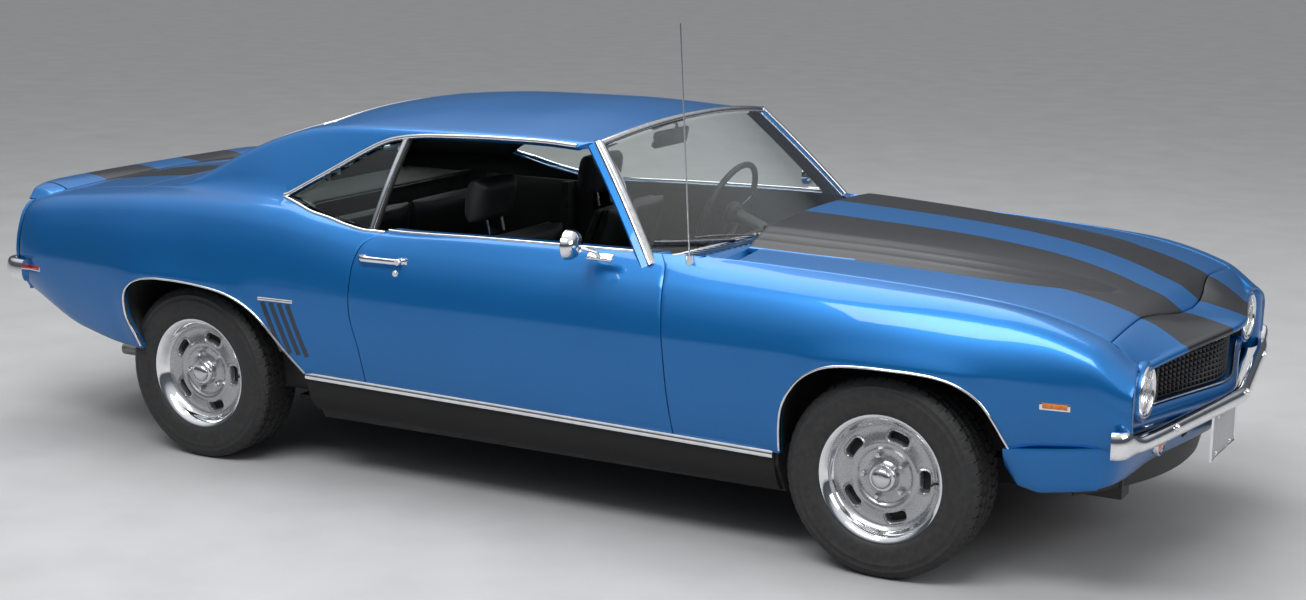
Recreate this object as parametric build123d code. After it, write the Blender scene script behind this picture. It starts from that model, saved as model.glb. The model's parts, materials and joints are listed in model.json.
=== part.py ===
from build123d import *
import os
from math import atan2, cos, radians, sin

# Two-door hardtop muscle car, in millimetres. +X is forward, +Z is up, the car's right
# side is at -Y. The origin is on the floor, at the middle of the car's length and width.

# Overall size and stance
LENGTH = 4724
WHEELBASE = 2743
FRONT_AXLE_X = 1427
REAR_AXLE_X = FRONT_AXLE_X - WHEELBASE
TRACK = 1514
NOSE_X = LENGTH / 2
TAIL_X = -LENGTH / 2

# Clearances
PANEL_GAP = 6
HINGE_GAP = 10
HOOD_GAP = 7
DOOR_FRONT_EXTRA = 2
RUN_CLEARANCE = 0.3

# Hinges: pin, eye and the places of the axes
PIN_RADIUS = 4
EYE_RADIUS = 7
HINGE_PLATE = 10
DOOR_HINGE_X = 600
DOOR_HINGE_Y = 872
DOOR_HINGE_Z = 681
DOOR_EYE_HALF = 17
DOOR_HINGE_REACH = 85
DOOR_LEAF_HALF = 31
DOOR_POCKET_HALF = 41
HOOD_HINGE_X = 872
HOOD_HINGE_Y = 600
HOOD_HINGE_Z = 903
LID_HINGE_X = -1560
LID_HINGE_Y = 496
LID_HINGE_Z = 950
LID_PLATE_TOP = 982
LID_ARM = ((-1548, 950), (-1548, 786), (-1762, 786), (-1772, 972), (-1752, 972), (-1744, 802),
           (-1568, 802), (-1572, 950))

# Wheels and tyres
TYRE_RADIUS = 325
TYRE_WIDTH = 206
TYRE_SHOULDER = 26
SIDEWALL_RADIUS = 258
BEAD_RADIUS = 190
BARREL_WALL = 8
RIM_WIDTH = 178
FLANGE_RADIUS = 204
FLANGE_WALL = 10
DISC_FACE = 46
DISC_WALL = 12
SLOT_COUNT = 5
SLOT_PITCH_RADIUS = 132
SLOT_LENGTH = 86
SLOT_WIDTH = 30
CAP_RADIUS = 38
CAP_HEIGHT = 40
HUB_RADIUS = 62
SPINDLE_RADIUS = 20
HUB_DEPTH = 34

# Steering
STEER_AXIS_Y = TRACK / 2 - 12
POST_RADIUS = 13
POST_HALF = 105
ARM_EYE_RADIUS = 26
ARM_THICK = 22
ARM_HALF_SPREAD = 78

# Body walls
FENDER_WALL = 30
DOOR_WALL = 82
DOOR_STEP_Y = 843
QUARTER_WALL = 56
PANEL_WALL = 24
ROOF_WALL = 34

# Body side, half width and height of each line on the section at X.
# Columns: x, sill_y, sill_z, crease_y, crease_z, shoulder_y, shoulder_z, top_y, top_z
FENDER_SECTIONS = (
    (2192, 806, 520, 826, 640, 815, 756, 694, 786),
    (2060, 818, 506, 848, 682, 802, 820, 700, 829),
    (1760, 838, 472, 890, 701, 797, 880, 706, 891),
    (1427, 850, 400, 905, 701, 812, 893, 712, 918),
    (1090, 848, 362, 900, 698, 816, 896, 717, 932),
    (820, 846, 364, 895, 696, 816, 897, 724, 940),
    (560, 846, 368, 890, 694, 814, 898, 764, 940),
)
DOOR_SECTIONS = (
    (720, 846, 366, 893, 696, 815, 898, 778, 938),
    (300, 846, 372, 888, 694, 813, 905, 778, 941),
    (-100, 846, 378, 887, 692, 813, 903, 778, 933),
    (-620, 850, 387, 896, 694, 824, 903, 776, 923),
)
QUARTER_SECTIONS = (
    (-440, 850, 384, 891, 692, 820, 901, 777, 924),
    (-715, 853, 389, 901, 696, 836, 926, 770, 957),
    (-883, 857, 391, 909, 699, 844, 950, 754, 1004),
    (-1050, 860, 394, 918, 702, 848, 961, 748, 1010),
    (-1316, 870, 396, 928, 703, 842, 966, 722, 1004),
    (-1600, 870, 398, 921, 701, 830, 956, 690, 984),
    (-1900, 832, 438, 893, 702, 813, 932, 668, 956),
    (-2200, 796, 556, 850, 695, 786, 888, 646, 912),
)

# Cut lines of the door in the side view, from the belt down to the sill (x, z)
DOOR_FRONT_CUT = ((588, 990), (588, 960), (639, 905), (658, 806), (674, 693), (687, 497), (697, 340))
DOOR_REAR_CUT = ((-536, 340), (-548, 502), (-574, 656), (-572, 793), (-551, 872), (-490, 928), (-470, 990))

# Wheel arches in the side view, from the axle: corners and the radii between them
ARCH_TOP_Z = 690
FRONT_ARCH = ((484, 300), (300, ARCH_TOP_Z), (-318, ARCH_TOP_Z), (-342, 300))
FRONT_ARCH_RADII = (145, 170)
REAR_ARCH = ((575, 300), (296, ARCH_TOP_Z), (-302, ARCH_TOP_Z), (-304, 520), (-262, 300))
WHEEL_ROOM = 12
REAR_ARCH_RADII = (200, 125, 70)

# Hood, header and deck: height of the middle over the edge, and plan lines
HOOD_REAR_X = 866
HOOD_CROWN = 30
HOOD_FRONT = ((2078, 690), (2080, 430), (2098, 300), (2128, 130), (2140, 0))
HEADER_FRONT = ((2190, 694), (2200, 600), (2228, 400), (2262, 150), (2270, 0))
HEADER_DROP = 78
LID_FRONT_X = -1694
DECK_FRONT_X = -1500
LID_REAR_X = -2226
SPOILER_FRONT_X = -2040
SPOILER_FOOT_X = -2200
SPOILER_REAR_X = -2264
# Spoiler ends on the quarter panels. Columns: y, rise, rear_shift, front_z, rear_z
SPOILER_END_SECTIONS = ((-734, 4, 18, 926, 900), (-660, 17, 12, 938, 913))
DECK_CROWN = 20

# Cold-air scoop on the hood: ridge and foot lines (x, ridge_y, rise over the hood, foot_y)
SCOOP_SECTIONS = (
    (832, 426, 42, 562),
    (1230, 395, 37, 540),
    (1600, 345, 27, 524),
    (1840, 280, 13, 440),
    (1985, 236, 2, 262),
)
SCOOP_WALL = 14
SCOOP_MOUTH_DEPTH = 560

# Roof and pillars. Columns: x, base_y, base_z, rail_y, rail_z, crown_z
ROOF_SECTIONS = (
    (840, 812, 890, 660, 1226, 1262),
    (300, 812, 890, 644, 1262, 1305),
    (-200, 812, 890, 638, 1270, 1336),
    (-600, 808, 890, 630, 1264, 1328),
    (-900, 800, 890, 622, 1236, 1290),
    (-1200, 784, 890, 664, 1132, 1172),
    (-1500, 750, 890, 694, 998, 1014),
    (-1640, 735, 870, 705, 930, 940),
)
# Windshield: plan arcs at two heights (z, middle_x, edge_x, edge_y)
WINDSHIELD_ARCS = ((880, 819, 600, 815), (1345, 246, 202, 580))
WINDSHIELD_OPENING = ((742, 962), (592, 1254))
BACKLIGHT_OPENING = ((590, 1022), (520, 1262))
BACKLIGHT_LINE = ((-905, 1268), (-1478, 1006))
GLASS_WALL = 6
GLASS_SINK = 10
# Side window opening with its corners (x, z), the belt is open
SIDE_WINDOW = (
    (508, 880), (508, 934), (222, 1250), (-115, 1257), (-400, 1248), (-559, 1224),
    (-640, 1186), (-948, 1002), (-948, 880),
)
QUARTER_GLASS = ((-492, 1232), (-556, 1214), (-632, 1172), (-912, 1004), (-715, 962), (-566, 930))

# Door glass, wound down: a slab of an arc in the section of the car
DOOR_GLASS_TOP = (764, 941)
DOOR_GLASS_MID = (802, 765)
DOOR_GLASS_FOOT = (816, 600)
DOOR_GLASS_SLOT = 12
DOOR_GLASS_ENDS = (470, -455)

# Underbody
FLOOR_Z = 240
FLOOR_WALL = 20
FLOOR_HALF = 700
FLOOR_FRONT_X = 722
FLOOR_REAR_X = -960
ROCKER_OUTER = 838
ROCKER_FOOT_Y = 770
ROCKER_FOOT_Z = 212
ROCKER_ENDS = (1072, -790)
ROCKER_TOPS = (366, 376)
HINGE_PILLAR_X = 780
LOCK_PILLAR_X = (-672, -640)
FIREWALL_TOP_Z = 884
APRON_WALL = 16
# Panels that each piece of the welded shell is cut clear of
UNDER_PANELS = {
    "floor_pan": ("fender_right", "fender_left", "quarter_right", "quarter_left"),
    "firewall": ("fender_right", "fender_left", "cowl_panel", "roof_panel"),
    "hinge_pillars": ("fender_right", "cowl_panel", "roof_panel"),
    "aprons": ("fender_right", "header_panel"),
    "trunk_floor": ("quarter_right", "quarter_left", "roof_panel", "deck_panel", "tail_panel"),
    "trunk_sides": ("quarter_right", "roof_panel", "deck_panel", "tail_panel"),
    "radiator_support": ("fender_right", "fender_left", "header_panel"),
}
SHELL_PAIRS = ("hinge_pillars", "aprons", "trunk_sides")
LEAF_SPRING = ((-700, 262), (-940, 224), (REAR_AXLE_X, 268), (-1700, 270), (-1940, 420), (-1940, 440),
               (-1700, 300), (REAR_AXLE_X, 300), (-940, 240), (-700, 278))
PILLAR_FOOT_Z = 340
PILLAR_OUTER = 836
SEAT_BACK_WALL = 18
DOOR_SWING_X = 500
DOOR_SWING_FLOOR_Z = 361
TUNNEL_HALF = 150
TUNNEL_TOP = 400
TRUNK_FLOOR_Z = 482
TRUNK_HALF = 520
TRUNK_REAR_X = -2176
SEAT_BACK_WALL_X = -1085
APRON_Y = 480
APRON_TOP_Z = 800
CORE_X = 2072
CORE_WALL = 24

# Bumpers, in plan (x, y) along the outer face
FRONT_BUMPER = ((2095, 890), (2175, 884), (2212, 846), (2240, 740), (2266, 620), (2322, 300),
                (2352, 120), (NOSE_X, 0))
FRONT_BUMPER_Z = (508, 578)
REAR_BUMPER = ((-2128, 905), (-2222, 892), (-2284, 800), (-2325, 560), (-2352, 250), (TAIL_X, 0))
REAR_BUMPER_Z = (604, 682)
BUMPER_WALL = 22

# Number plate's bolt holes
PLATE_HOLE_Y = 177.8
PLATE_HOLE_Z = 120.6
PLATE_HOLE_RADIUS = 3.5
PLATE_Z = 405

# Lamps and grille
LAMP_Y = 636
LAMP_Z = 648
LAMP_RADIUS = 90
LAMP_X = 2176
BEZEL_HALF = 104
BEZEL_FRONT_X = 2196
GRILLE_HALF = 522
GRILLE_FRAME = 12
GRILLE_STAY_Y = 400
VALANCE_TOP_CUT = ((1800, 470), (1884, 474), (2192, 514), (2300, 514), (2300, 700), (1800, 700))
GRILLE_Z = (588, 738)
GRILLE_X = 2150
GRILLE_BAR = 7
GRILLE_COLUMNS = 22
GRILLE_ROWS = 6
TAIL_LAMP_Y = (300, 690)
TAIL_LAMP_Z = (706, 800)

# Cabin pieces
SEAT_Y = 388
SEAT_WIDTH = 490
WHEEL_CENTRE = (262, 370, 905)
STEERING_WHEEL_RADIUS = 190
COLUMN_FALL = 22
COLUMN_RADIUS = 17
COLUMN_FRONT_X = 756
COLUMN_BORE = 0.5
# Side profiles (x, z) of the seats and the dashboard
SEAT_CUSHION = ((320, 300), (330, 430), (300, 455), (-160, 400), (-170, 300))
SEAT_BACK = ((-110, 395), (-190, 430), (-330, 900), (-310, 925), (-250, 925), (-220, 900))
HEADREST = ((-250, 915), (-335, 915), (-350, 1060), (-320, 1080), (-275, 1080))
HEADREST_HALF = 130
BENCH_CUSHION = ((-560, 330), (-540, 440), (-580, 470), (-960, 420), (-1075, 900), (-1084, 900),
                 (-1084, 530), (-1000, 330))
BENCH_BACK = ((-960, 430), (-900, 420), (-985, 860), (-1010, 890), (-1084, 900), (-1084, 520))
BENCH_HALF = 600
DASH_PROFILE = ((722, 700), (722, 884), (690, 900), (560, 905), (520, 880), (505, 760), (530, 690),
                (600, 660))
DASH_HALF = 690
# Cowl panel, side view, and the hollow that the hood's rear edge swings into
COWL_PROFILE = ((600, 900), (600, 936), (690, 940), (852, 896), (852, 874), (742, 884), (722, 884),
                (722, 900))
COWL_HOLLOW = ((752, 960), (752, 912), (775, 903), (795, 893), (860, 886), (860, 960))
COWL_HOLLOW_HALF = 570
DOOR_CLEARANCE = 5
SHELL_SIDE_Y = 830


def face_at_x(x, points):
    """Closed outline of (y, z) points on the section at x."""
    return Plane((x, 0, 0), x_dir=(0, 1, 0), z_dir=(1, 0, 0)) * Polygon(*points, align=None)


def slab_x(points, x_low, x_high):
    """Outline of (y, z) points, solid from x_low to x_high."""
    return extrude(face_at_x(x_low, points), amount=x_high - x_low, dir=(1, 0, 0))


def side_face(outline, y):
    """Closed face of (x, z) points or of a sketch, standing at y."""
    sketch = outline if isinstance(outline, Sketch) else Polygon(*outline, align=None)
    return Plane((0, y, 0), x_dir=(1, 0, 0), z_dir=(0, -1, 0)) * sketch


def slab_y(outline, y_low, y_high):
    """Outline of (x, z) points, solid from y_low to y_high."""
    return extrude(side_face(outline, y_low), amount=y_high - y_low, dir=(0, 1, 0))


def slab_z(points, z_low, z_high):
    """Outline of (x, y) points, solid from z_low to z_high."""
    face = Plane.XY.offset(z_low) * Polygon(*points, align=None)
    return extrude(face, amount=z_high - z_low, dir=(0, 0, 1))


def block(x_range, y_range, z_range):
    """Box between its low and high sides."""
    size = [high - low for low, high in (x_range, y_range, z_range)]
    centre = [(high + low) / 2 for low, high in (x_range, y_range, z_range)]
    return Pos(*centre) * Box(*size)


def rod(start, end, radius):
    """Round bar from start to end."""
    line = Vector(*end) - Vector(*start)
    return extrude(Plane(start, z_dir=line) * Circle(radius), amount=line.length)


def both_sides(points):
    """Half outline (x, y) from the side to the middle, completed by its mirror image."""
    other = [(x, -y) for x, y in reversed(points) if y != 0]
    return list(points) + other


def left(solid):
    """The same piece on the car's left side."""
    return mirror(solid, about=Plane.XZ)


def line_value(table, x, column):
    """Value of one column of a section table at x."""
    rows = sorted(table)
    for low, high in zip(rows, rows[1:]):
        if x <= high[0]:
            share = (x - low[0]) / (high[0] - low[0])
            return low[column] + share * (high[column] - low[column])
    return rows[-1][column]


def side_wall(sections, wall, lip_in, lip_drop):
    """Body side on the car's right, as thick as wall, with a lip along its top edge."""
    faces = []
    for row in sections:
        x, sill_y, sill_z, crease_y, crease_z, shoulder_y, shoulder_z, top_y, top_z = row
        lip = (lip_in(x), lip_drop(x))
        faces.append(face_at_x(x, (
            (-sill_y, sill_z), (-crease_y, crease_z), (-shoulder_y, shoulder_z), (-top_y, top_z),
            (lip[0] - top_y, top_z - lip[1]), (wall - shoulder_y, shoulder_z - wall),
            (wall - crease_y, crease_z), (wall - sill_y, sill_z))))
    return loft(faces)


def arch_sketch(axle_x, corners, radii, grow):
    """Wheel arch in the side view, its line moved out by grow."""
    points = [(axle_x + x, z) for x, z in corners]
    line = FilletPolyline(*points, radius=list(radii))
    sketch = make_face((line + Line(points[-1], points[0])).edges())
    return offset(sketch, grow) if grow else sketch


def door_sketch(grow):
    """Door outline in the side view, its line moved out by grow."""
    sketch = make_face(Polyline(*DOOR_FRONT_CUT, *DOOR_REAR_CUT, close=True).edges())
    return offset(sketch, grow, kind=Kind.INTERSECTION)


def hood_height(x, y):
    """Height of the hood's sheet."""
    edge = line_value(FENDER_SECTIONS, x, 8)
    half = line_value(FENDER_SECTIONS, x, 7)
    return edge + HOOD_CROWN * (1 - (y / half) ** 2)


def hinge_pockets():
    """Hollows in the front of the right door for the fixed half of its hinge."""
    return [block((DOOR_HINGE_X - 14, 760), (-y, -700), z) for y, z in (
        (DOOR_HINGE_Y - EYE_RADIUS - 1, (DOOR_HINGE_Z - DOOR_POCKET_HALF, DOOR_HINGE_Z + DOOR_POCKET_HALF)),
        (DOOR_HINGE_Y + EYE_RADIUS + 1, (DOOR_HINGE_Z - DOOR_LEAF_HALF, DOOR_HINGE_Z - DOOR_EYE_HALF)),
        (DOOR_HINGE_Y + EYE_RADIUS + 1, (DOOR_HINGE_Z + DOOR_EYE_HALF, DOOR_HINGE_Z + DOOR_LEAF_HALF)))]


def make_tyre(centre_y):
    """Tyre with rounded shoulders on its rim, at one side."""
    half = TYRE_WIDTH / 2
    bead = RIM_WIDTH / 2 - FLANGE_WALL
    profile = Polyline(
        (BEAD_RADIUS, -bead), (FLANGE_RADIUS + 4, -bead), (SIDEWALL_RADIUS, -half),
        (TYRE_RADIUS - TYRE_SHOULDER, -half + 3),
        (TYRE_RADIUS - 5, TYRE_SHOULDER - half), (TYRE_RADIUS, TYRE_SHOULDER + 16 - half),
        (TYRE_RADIUS, half - TYRE_SHOULDER - 16), (TYRE_RADIUS - 5, half - TYRE_SHOULDER),
        (TYRE_RADIUS - TYRE_SHOULDER, half - 3), (SIDEWALL_RADIUS, half), (FLANGE_RADIUS + 4, bead),
        (BEAD_RADIUS, bead), close=True)
    return Plane((0, centre_y, 0)) * revolve(make_face(profile.edges()), Axis.Y)


def make_rim(centre_y, outward):
    """Slotted wheel: barrel, flanges, dished disc with its slots, hub and cap."""
    half = RIM_WIDTH / 2
    disc = DISC_FACE
    profile = Polyline(
        (SPINDLE_RADIUS + RUN_CLEARANCE, disc - HUB_DEPTH), (HUB_RADIUS, disc - HUB_DEPTH),
        (HUB_RADIUS + 14, disc - DISC_WALL), (BEAD_RADIUS - 30, disc - DISC_WALL),
        (BEAD_RADIUS - BARREL_WALL, 0), (BEAD_RADIUS - BARREL_WALL, 8 - half), (FLANGE_RADIUS - 8, -half),
        (FLANGE_RADIUS, -half), (FLANGE_RADIUS, FLANGE_WALL - half), (BEAD_RADIUS, FLANGE_WALL - half),
        (BEAD_RADIUS, half - FLANGE_WALL), (FLANGE_RADIUS, half - FLANGE_WALL), (FLANGE_RADIUS, half),
        (FLANGE_RADIUS - 8, half), (BEAD_RADIUS - BARREL_WALL, half - 22), (BEAD_RADIUS - 22, disc),
        (HUB_RADIUS + 20, disc), (HUB_RADIUS, disc + 14), (CAP_RADIUS, disc + 14),
        (CAP_RADIUS - 4, disc + CAP_HEIGHT), (0, disc + CAP_HEIGHT + 4), (0, disc + 6),
        (SPINDLE_RADIUS + RUN_CLEARANCE, disc + 6), close=True)
    rim = revolve(make_face(profile.edges()), Axis.Y)
    slots = [place * Rot(0, 0, 90) * SlotOverall(SLOT_LENGTH, SLOT_WIDTH)
             for place in PolarLocations(SLOT_PITCH_RADIUS, SLOT_COUNT)]
    for slot in slots:
        rim -= extrude(Plane.XZ * slot, amount=half, dir=(0, 1, 0))
    if outward < 0:
        rim = mirror(rim, about=Plane.XZ)
    return Pos(0, centre_y, 0) * rim


def make_wheels():
    """Four wheels, each a rim and a tyre."""
    for end, axle_x in (("front", FRONT_AXLE_X), ("rear", REAR_AXLE_X)):
        for side, sign in (("right", -1), ("left", 1)):
            place = Pos(axle_x, 0, TYRE_RADIUS)
            nodes[f"rim_{end}_{side}"] = place * make_rim(sign * TRACK / 2, sign)
            nodes[f"tyre_{end}_{side}"] = place * make_tyre(sign * TRACK / 2)


def make_body_sides():
    """Fenders, doors and quarter panels, with the gaps between them."""
    arch_front = slab_y(arch_sketch(FRONT_AXLE_X, FRONT_ARCH, FRONT_ARCH_RADII, 0), -1000, -500)
    arch_rear = slab_y(arch_sketch(REAR_AXLE_X, REAR_ARCH, REAR_ARCH_RADII, 0), -1000, -500)
    door_hole = slab_y(door_sketch(PANEL_GAP / 2), -1000, -500)
    door_shape = slab_y(door_sketch(-PANEL_GAP / 2), -1000, -500)
    fender = side_wall(FENDER_SECTIONS, FENDER_WALL, lambda x: 0, lambda x: FENDER_WALL)
    fender = fender - arch_front - door_hole
    door = side_wall(DOOR_SECTIONS, DOOR_WALL, lambda x: 42, lambda x: 0) & door_shape
    door = door & (Pos(-DOOR_FRONT_EXTRA, 0, 0) * door_shape)
    rear_step = slab_y(door_sketch(-PANEL_GAP), -1000, -400)
    door -= block((-700, -300), (-DOOR_STEP_Y, -500), (300, 1100)) - rear_step
    eye = rod((DOOR_HINGE_X, -DOOR_HINGE_Y, DOOR_HINGE_Z - DOOR_EYE_HALF),
              (DOOR_HINGE_X, -DOOR_HINGE_Y, DOOR_HINGE_Z + DOOR_EYE_HALF), EYE_RADIUS + 3)
    bore = rod((DOOR_HINGE_X, -DOOR_HINGE_Y, DOOR_HINGE_Z - DOOR_LEAF_HALF),
               (DOOR_HINGE_X, -DOOR_HINGE_Y, DOOR_HINGE_Z + DOOR_LEAF_HALF), PIN_RADIUS + RUN_CLEARANCE)
    door = (door - hinge_pockets()) + eye - bore
    quarter = side_wall(
        QUARTER_SECTIONS, QUARTER_WALL,
        lambda x: 36 if x > -1300 else 0, lambda x: 0 if x > -1000 else QUARTER_WALL)
    quarter = quarter - arch_rear - door_hole
    well_y = TRACK / 2 + TYRE_WIDTH / 2 + WHEEL_ROOM / 2
    quarter -= rod((REAR_AXLE_X, -well_y, TYRE_RADIUS), (REAR_AXLE_X, -500, TYRE_RADIUS),
                   TYRE_RADIUS + WHEEL_ROOM)
    return fender, door, quarter


def door_glass_slab(wall, top_z, foot_z, ends):
    """Slab of the wound-down window on the car's right."""
    half = wall / 2
    arc = ThreePointArc(
        (-DOOR_GLASS_TOP[0], DOOR_GLASS_TOP[1] + 60), (-DOOR_GLASS_MID[0], DOOR_GLASS_MID[1]),
        (-DOOR_GLASS_FOOT[0], DOOR_GLASS_FOOT[1] - 60))
    inner = Pos(half, 0) * arc
    outer = Pos(-half, 0) * arc
    sketch = make_face(Curve() + [
        inner, outer, Line(inner @ 0, outer @ 0), Line(inner @ 1, outer @ 1)])
    plane = Plane((ends[1], 0, 0), x_dir=(0, 1, 0), z_dir=(1, 0, 0))
    slab = extrude(plane * sketch, amount=ends[0] - ends[1], dir=(1, 0, 0))
    return slab & block((ends[1], ends[0]), (-900, -600), (foot_z, top_z))


def make_doors(door):
    """Doors with the window slot, the glass in it and the mirrors."""
    slot_ends = (DOOR_GLASS_ENDS[0] + 6, DOOR_GLASS_ENDS[1] - 6)
    slot = door_glass_slab(DOOR_GLASS_SLOT, DOOR_GLASS_TOP[1] + 60, DOOR_GLASS_FOOT[1], slot_ends)
    glass = door_glass_slab(GLASS_WALL, DOOR_GLASS_TOP[1] + 6, DOOR_GLASS_FOOT[1], DOOR_GLASS_ENDS)
    door = door - slot
    mirror_head = Plane((356, -930, 985), z_dir=(1, 0.18, 0)) * Cylinder(52, 34)
    mirror_arm = rod((366, -916, 960), (430, -812, 915), 8)
    mirror_foot = block((392, 470), (-832, -796), (893, 925)) - door
    mirror = mirror_head + mirror_arm + (mirror_foot - door)
    mirror = (mirror - door).solids().sort_by(SortBy.VOLUME)[-1]
    for name, piece in (("door", door), ("door_glass", glass), ("mirror", mirror)):
        nodes[f"{name}_right"] = piece
        nodes[f"{name}_left"] = left(piece)


def hood_row(x, drop, half):
    """Section of the hood's sheet at x, lowered by drop, out to half."""
    share = (-1, -0.72, -0.4, 0, 0.4, 0.72, 1)
    return [(half * s, hood_height(x, half * s) - drop) for s in share]


def hood_sheet(x_rear, x_front):
    """Crowned sheet between the fenders."""
    faces = []
    for x in (x_rear, x_rear + (x_front - x_rear) * 0.35, x_rear + (x_front - x_rear) * 0.7, x_front):
        half = line_value(FENDER_SECTIONS, x, 7) - HOOD_GAP
        faces.append(face_at_x(x, hood_row(x, 0, half) + hood_row(x, PANEL_WALL, half)[::-1]))
    return loft(faces)


def scoop_faces(shrink, x_low, x_high):
    """Sections of the scoop between two X values, each moved in by shrink."""
    faces = []
    for x in (x_low, x_low + (x_high - x_low) * 0.33, x_low + (x_high - x_low) * 0.66, x_high):
        ridge = line_value(SCOOP_SECTIONS, x, 1) - shrink
        rise = line_value(SCOOP_SECTIONS, x, 2) - shrink
        foot = line_value(SCOOP_SECTIONS, x, 3) - shrink * 2.2
        top = [(y, hood_height(x, y) + rise) for y in (-ridge, 0, ridge)]
        base = PANEL_WALL / 2
        faces.append(face_at_x(x, [(-foot, hood_height(x, foot) - base)] + top
                               + [(foot, hood_height(x, foot) - base), (0, hood_height(x, 0) - base)]))
    return faces


def make_hood():
    """Hood with its scoop, open towards the windshield."""
    sheet = hood_sheet(HOOD_REAR_X, HOOD_FRONT[-1][0])
    plan = both_sides([(HOOD_REAR_X - 40, -900), (HOOD_FRONT[0][0], -900)] + [(x, -y) for x, y in HOOD_FRONT])
    sheet = sheet & slab_z(plan, 600, 1100)
    rear, front = SCOOP_SECTIONS[0][0], SCOOP_SECTIONS[-1][0]
    scoop = loft(scoop_faces(0, rear, front))
    hollow = loft(scoop_faces(SCOOP_WALL, rear - 1, rear + SCOOP_MOUTH_DEPTH))
    hood = sheet + (scoop - hollow)
    for sign in (-1, 1):
        low, high = sorted((sign * (HOOD_HINGE_Y - 12), sign * (HOOD_HINGE_Y + 12)))
        hood += rod((HOOD_HINGE_X, low, HOOD_HINGE_Z), (HOOD_HINGE_X, high, HOOD_HINGE_Z), EYE_RADIUS)
        hood += block((HOOD_HINGE_X - EYE_RADIUS, HOOD_HINGE_X + EYE_RADIUS), (low, high),
                      (HOOD_HINGE_Z, HOOD_HINGE_Z + PANEL_WALL + 4))
    nodes["hood"] = hood - rod((HOOD_HINGE_X, -900, HOOD_HINGE_Z), (HOOD_HINGE_X, 900, HOOD_HINGE_Z),
                               PIN_RADIUS + RUN_CLEARANCE)


def make_header():
    """Panel between hood and grille, with the headlamp housings."""
    faces = []
    for y in [-v for u, v in HOOD_FRONT] + [v for u, v in HOOD_FRONT[-2::-1]]:
        rear_x = curve_value([(v, u) for u, v in HOOD_FRONT], abs(y)) + PANEL_GAP
        front_x = curve_value([(v, u) for u, v in HEADER_FRONT], abs(y))
        top_z = hood_height(min(rear_x, 2140), y)
        points = ((rear_x, top_z), (front_x, top_z - HEADER_DROP), (front_x - 4, top_z - HEADER_DROP - 16),
                  (rear_x, top_z - PANEL_WALL - 10))
        faces.append(Plane((0, y, 0), x_dir=(1, 0, 0), z_dir=(0, -1, 0)) * Polygon(*points, align=None))
    panel = loft(faces, ruled=True)
    housing = slab_y(((CORE_X + CORE_WALL, 560), (BEZEL_FRONT_X, 560), (BEZEL_FRONT_X, 740),
                      (CORE_X + CORE_WALL, 790)), -790, -GRILLE_HALF - 6)
    housing -= rod((2000, -LAMP_Y, LAMP_Z), (2300, -LAMP_Y, LAMP_Z), BEZEL_HALF - 8)
    housing -= nodes["fender_right"]
    housing = housing.solids().sort_by(SortBy.VOLUME)[-1]
    lamp = Plane((LAMP_X, -LAMP_Y, LAMP_Z), z_dir=(1, 0, 0)) * Cylinder(LAMP_RADIUS, 30)
    ring = Plane((LAMP_X - 26, -LAMP_Y, LAMP_Z), z_dir=(1, 0, 0)) * Cylinder(BEZEL_HALF - 8, 30)
    bowl = rod((CORE_X + CORE_WALL, -LAMP_Y, LAMP_Z), (LAMP_X - 30, -LAMP_Y, LAMP_Z), 60)
    lamp = lamp + ring + bowl
    nodes["headlamps"] = Part() + [lamp, left(lamp)]
    for sign in (-1, 1):
        panel -= rod((2000, sign * LAMP_Y, LAMP_Z), (2300, sign * LAMP_Y, LAMP_Z), BEZEL_HALF - 8)
    nodes["header_panel"] = (panel - nodes["fender_right"] - nodes["fender_left"]) + housing + left(housing)


def curve_value(points, value):
    """Straight-line value of a short list of (place, value) points."""
    rows = sorted(points)
    value = min(max(value, rows[0][0]), rows[-1][0])
    for low, high in zip(rows, rows[1:]):
        if value <= high[0]:
            return low[1] + (value - low[0]) / (high[0] - low[0]) * (high[1] - low[1])
    return rows[-1][1]


def make_grille():
    """Grille: frame and crossed bars, on the radiator support."""
    low, high = GRILLE_Z
    frame = block((GRILLE_X - 14, GRILLE_X + 14), (-GRILLE_HALF, GRILLE_HALF), (low, high))
    frame -= block((GRILLE_X - 20, GRILLE_X + 20), (GRILLE_FRAME - GRILLE_HALF, GRILLE_HALF - GRILLE_FRAME),
                   (low + GRILLE_FRAME, high - GRILLE_FRAME))
    bars = []
    step_y = 2 * (GRILLE_HALF - 12) / GRILLE_COLUMNS
    step_z = (high - low - 24) / GRILLE_ROWS
    for i in range(1, GRILLE_COLUMNS):
        y = 12 - GRILLE_HALF + i * step_y
        bars.append(block((GRILLE_X - 10, GRILLE_X + 6), (y - GRILLE_BAR / 2, y + GRILLE_BAR / 2),
                          (low + 6, high - 6)))
    for i in range(1, GRILLE_ROWS):
        z = low + 12 + i * step_z
        bars.append(block((GRILLE_X - 10, GRILLE_X + 10), (6 - GRILLE_HALF, GRILLE_HALF - 6),
                          (z - GRILLE_BAR / 2, z + GRILLE_BAR / 2)))
    stays = [block((CORE_X + CORE_WALL, GRILLE_X - 10), (y - 8, y + 8), (low + 2, low + 14))
             for y in (-GRILLE_STAY_Y, GRILLE_STAY_Y)]
    nodes["grille"] = frame + bars + stays


def bumper(points, z_range, direction):
    """Blade bumper along a plan line, its face bent in at top and bottom."""
    low, high = z_range
    outer = [(x, -y) for x, y in points]
    inner = [(x - direction * BUMPER_WALL, -max(y - BUMPER_WALL * 0.8, 0)) for x, y in points]
    plan = both_sides(outer) + both_sides(inner)[::-1]
    blade = slab_z(plan, low, high)
    return blade


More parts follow.
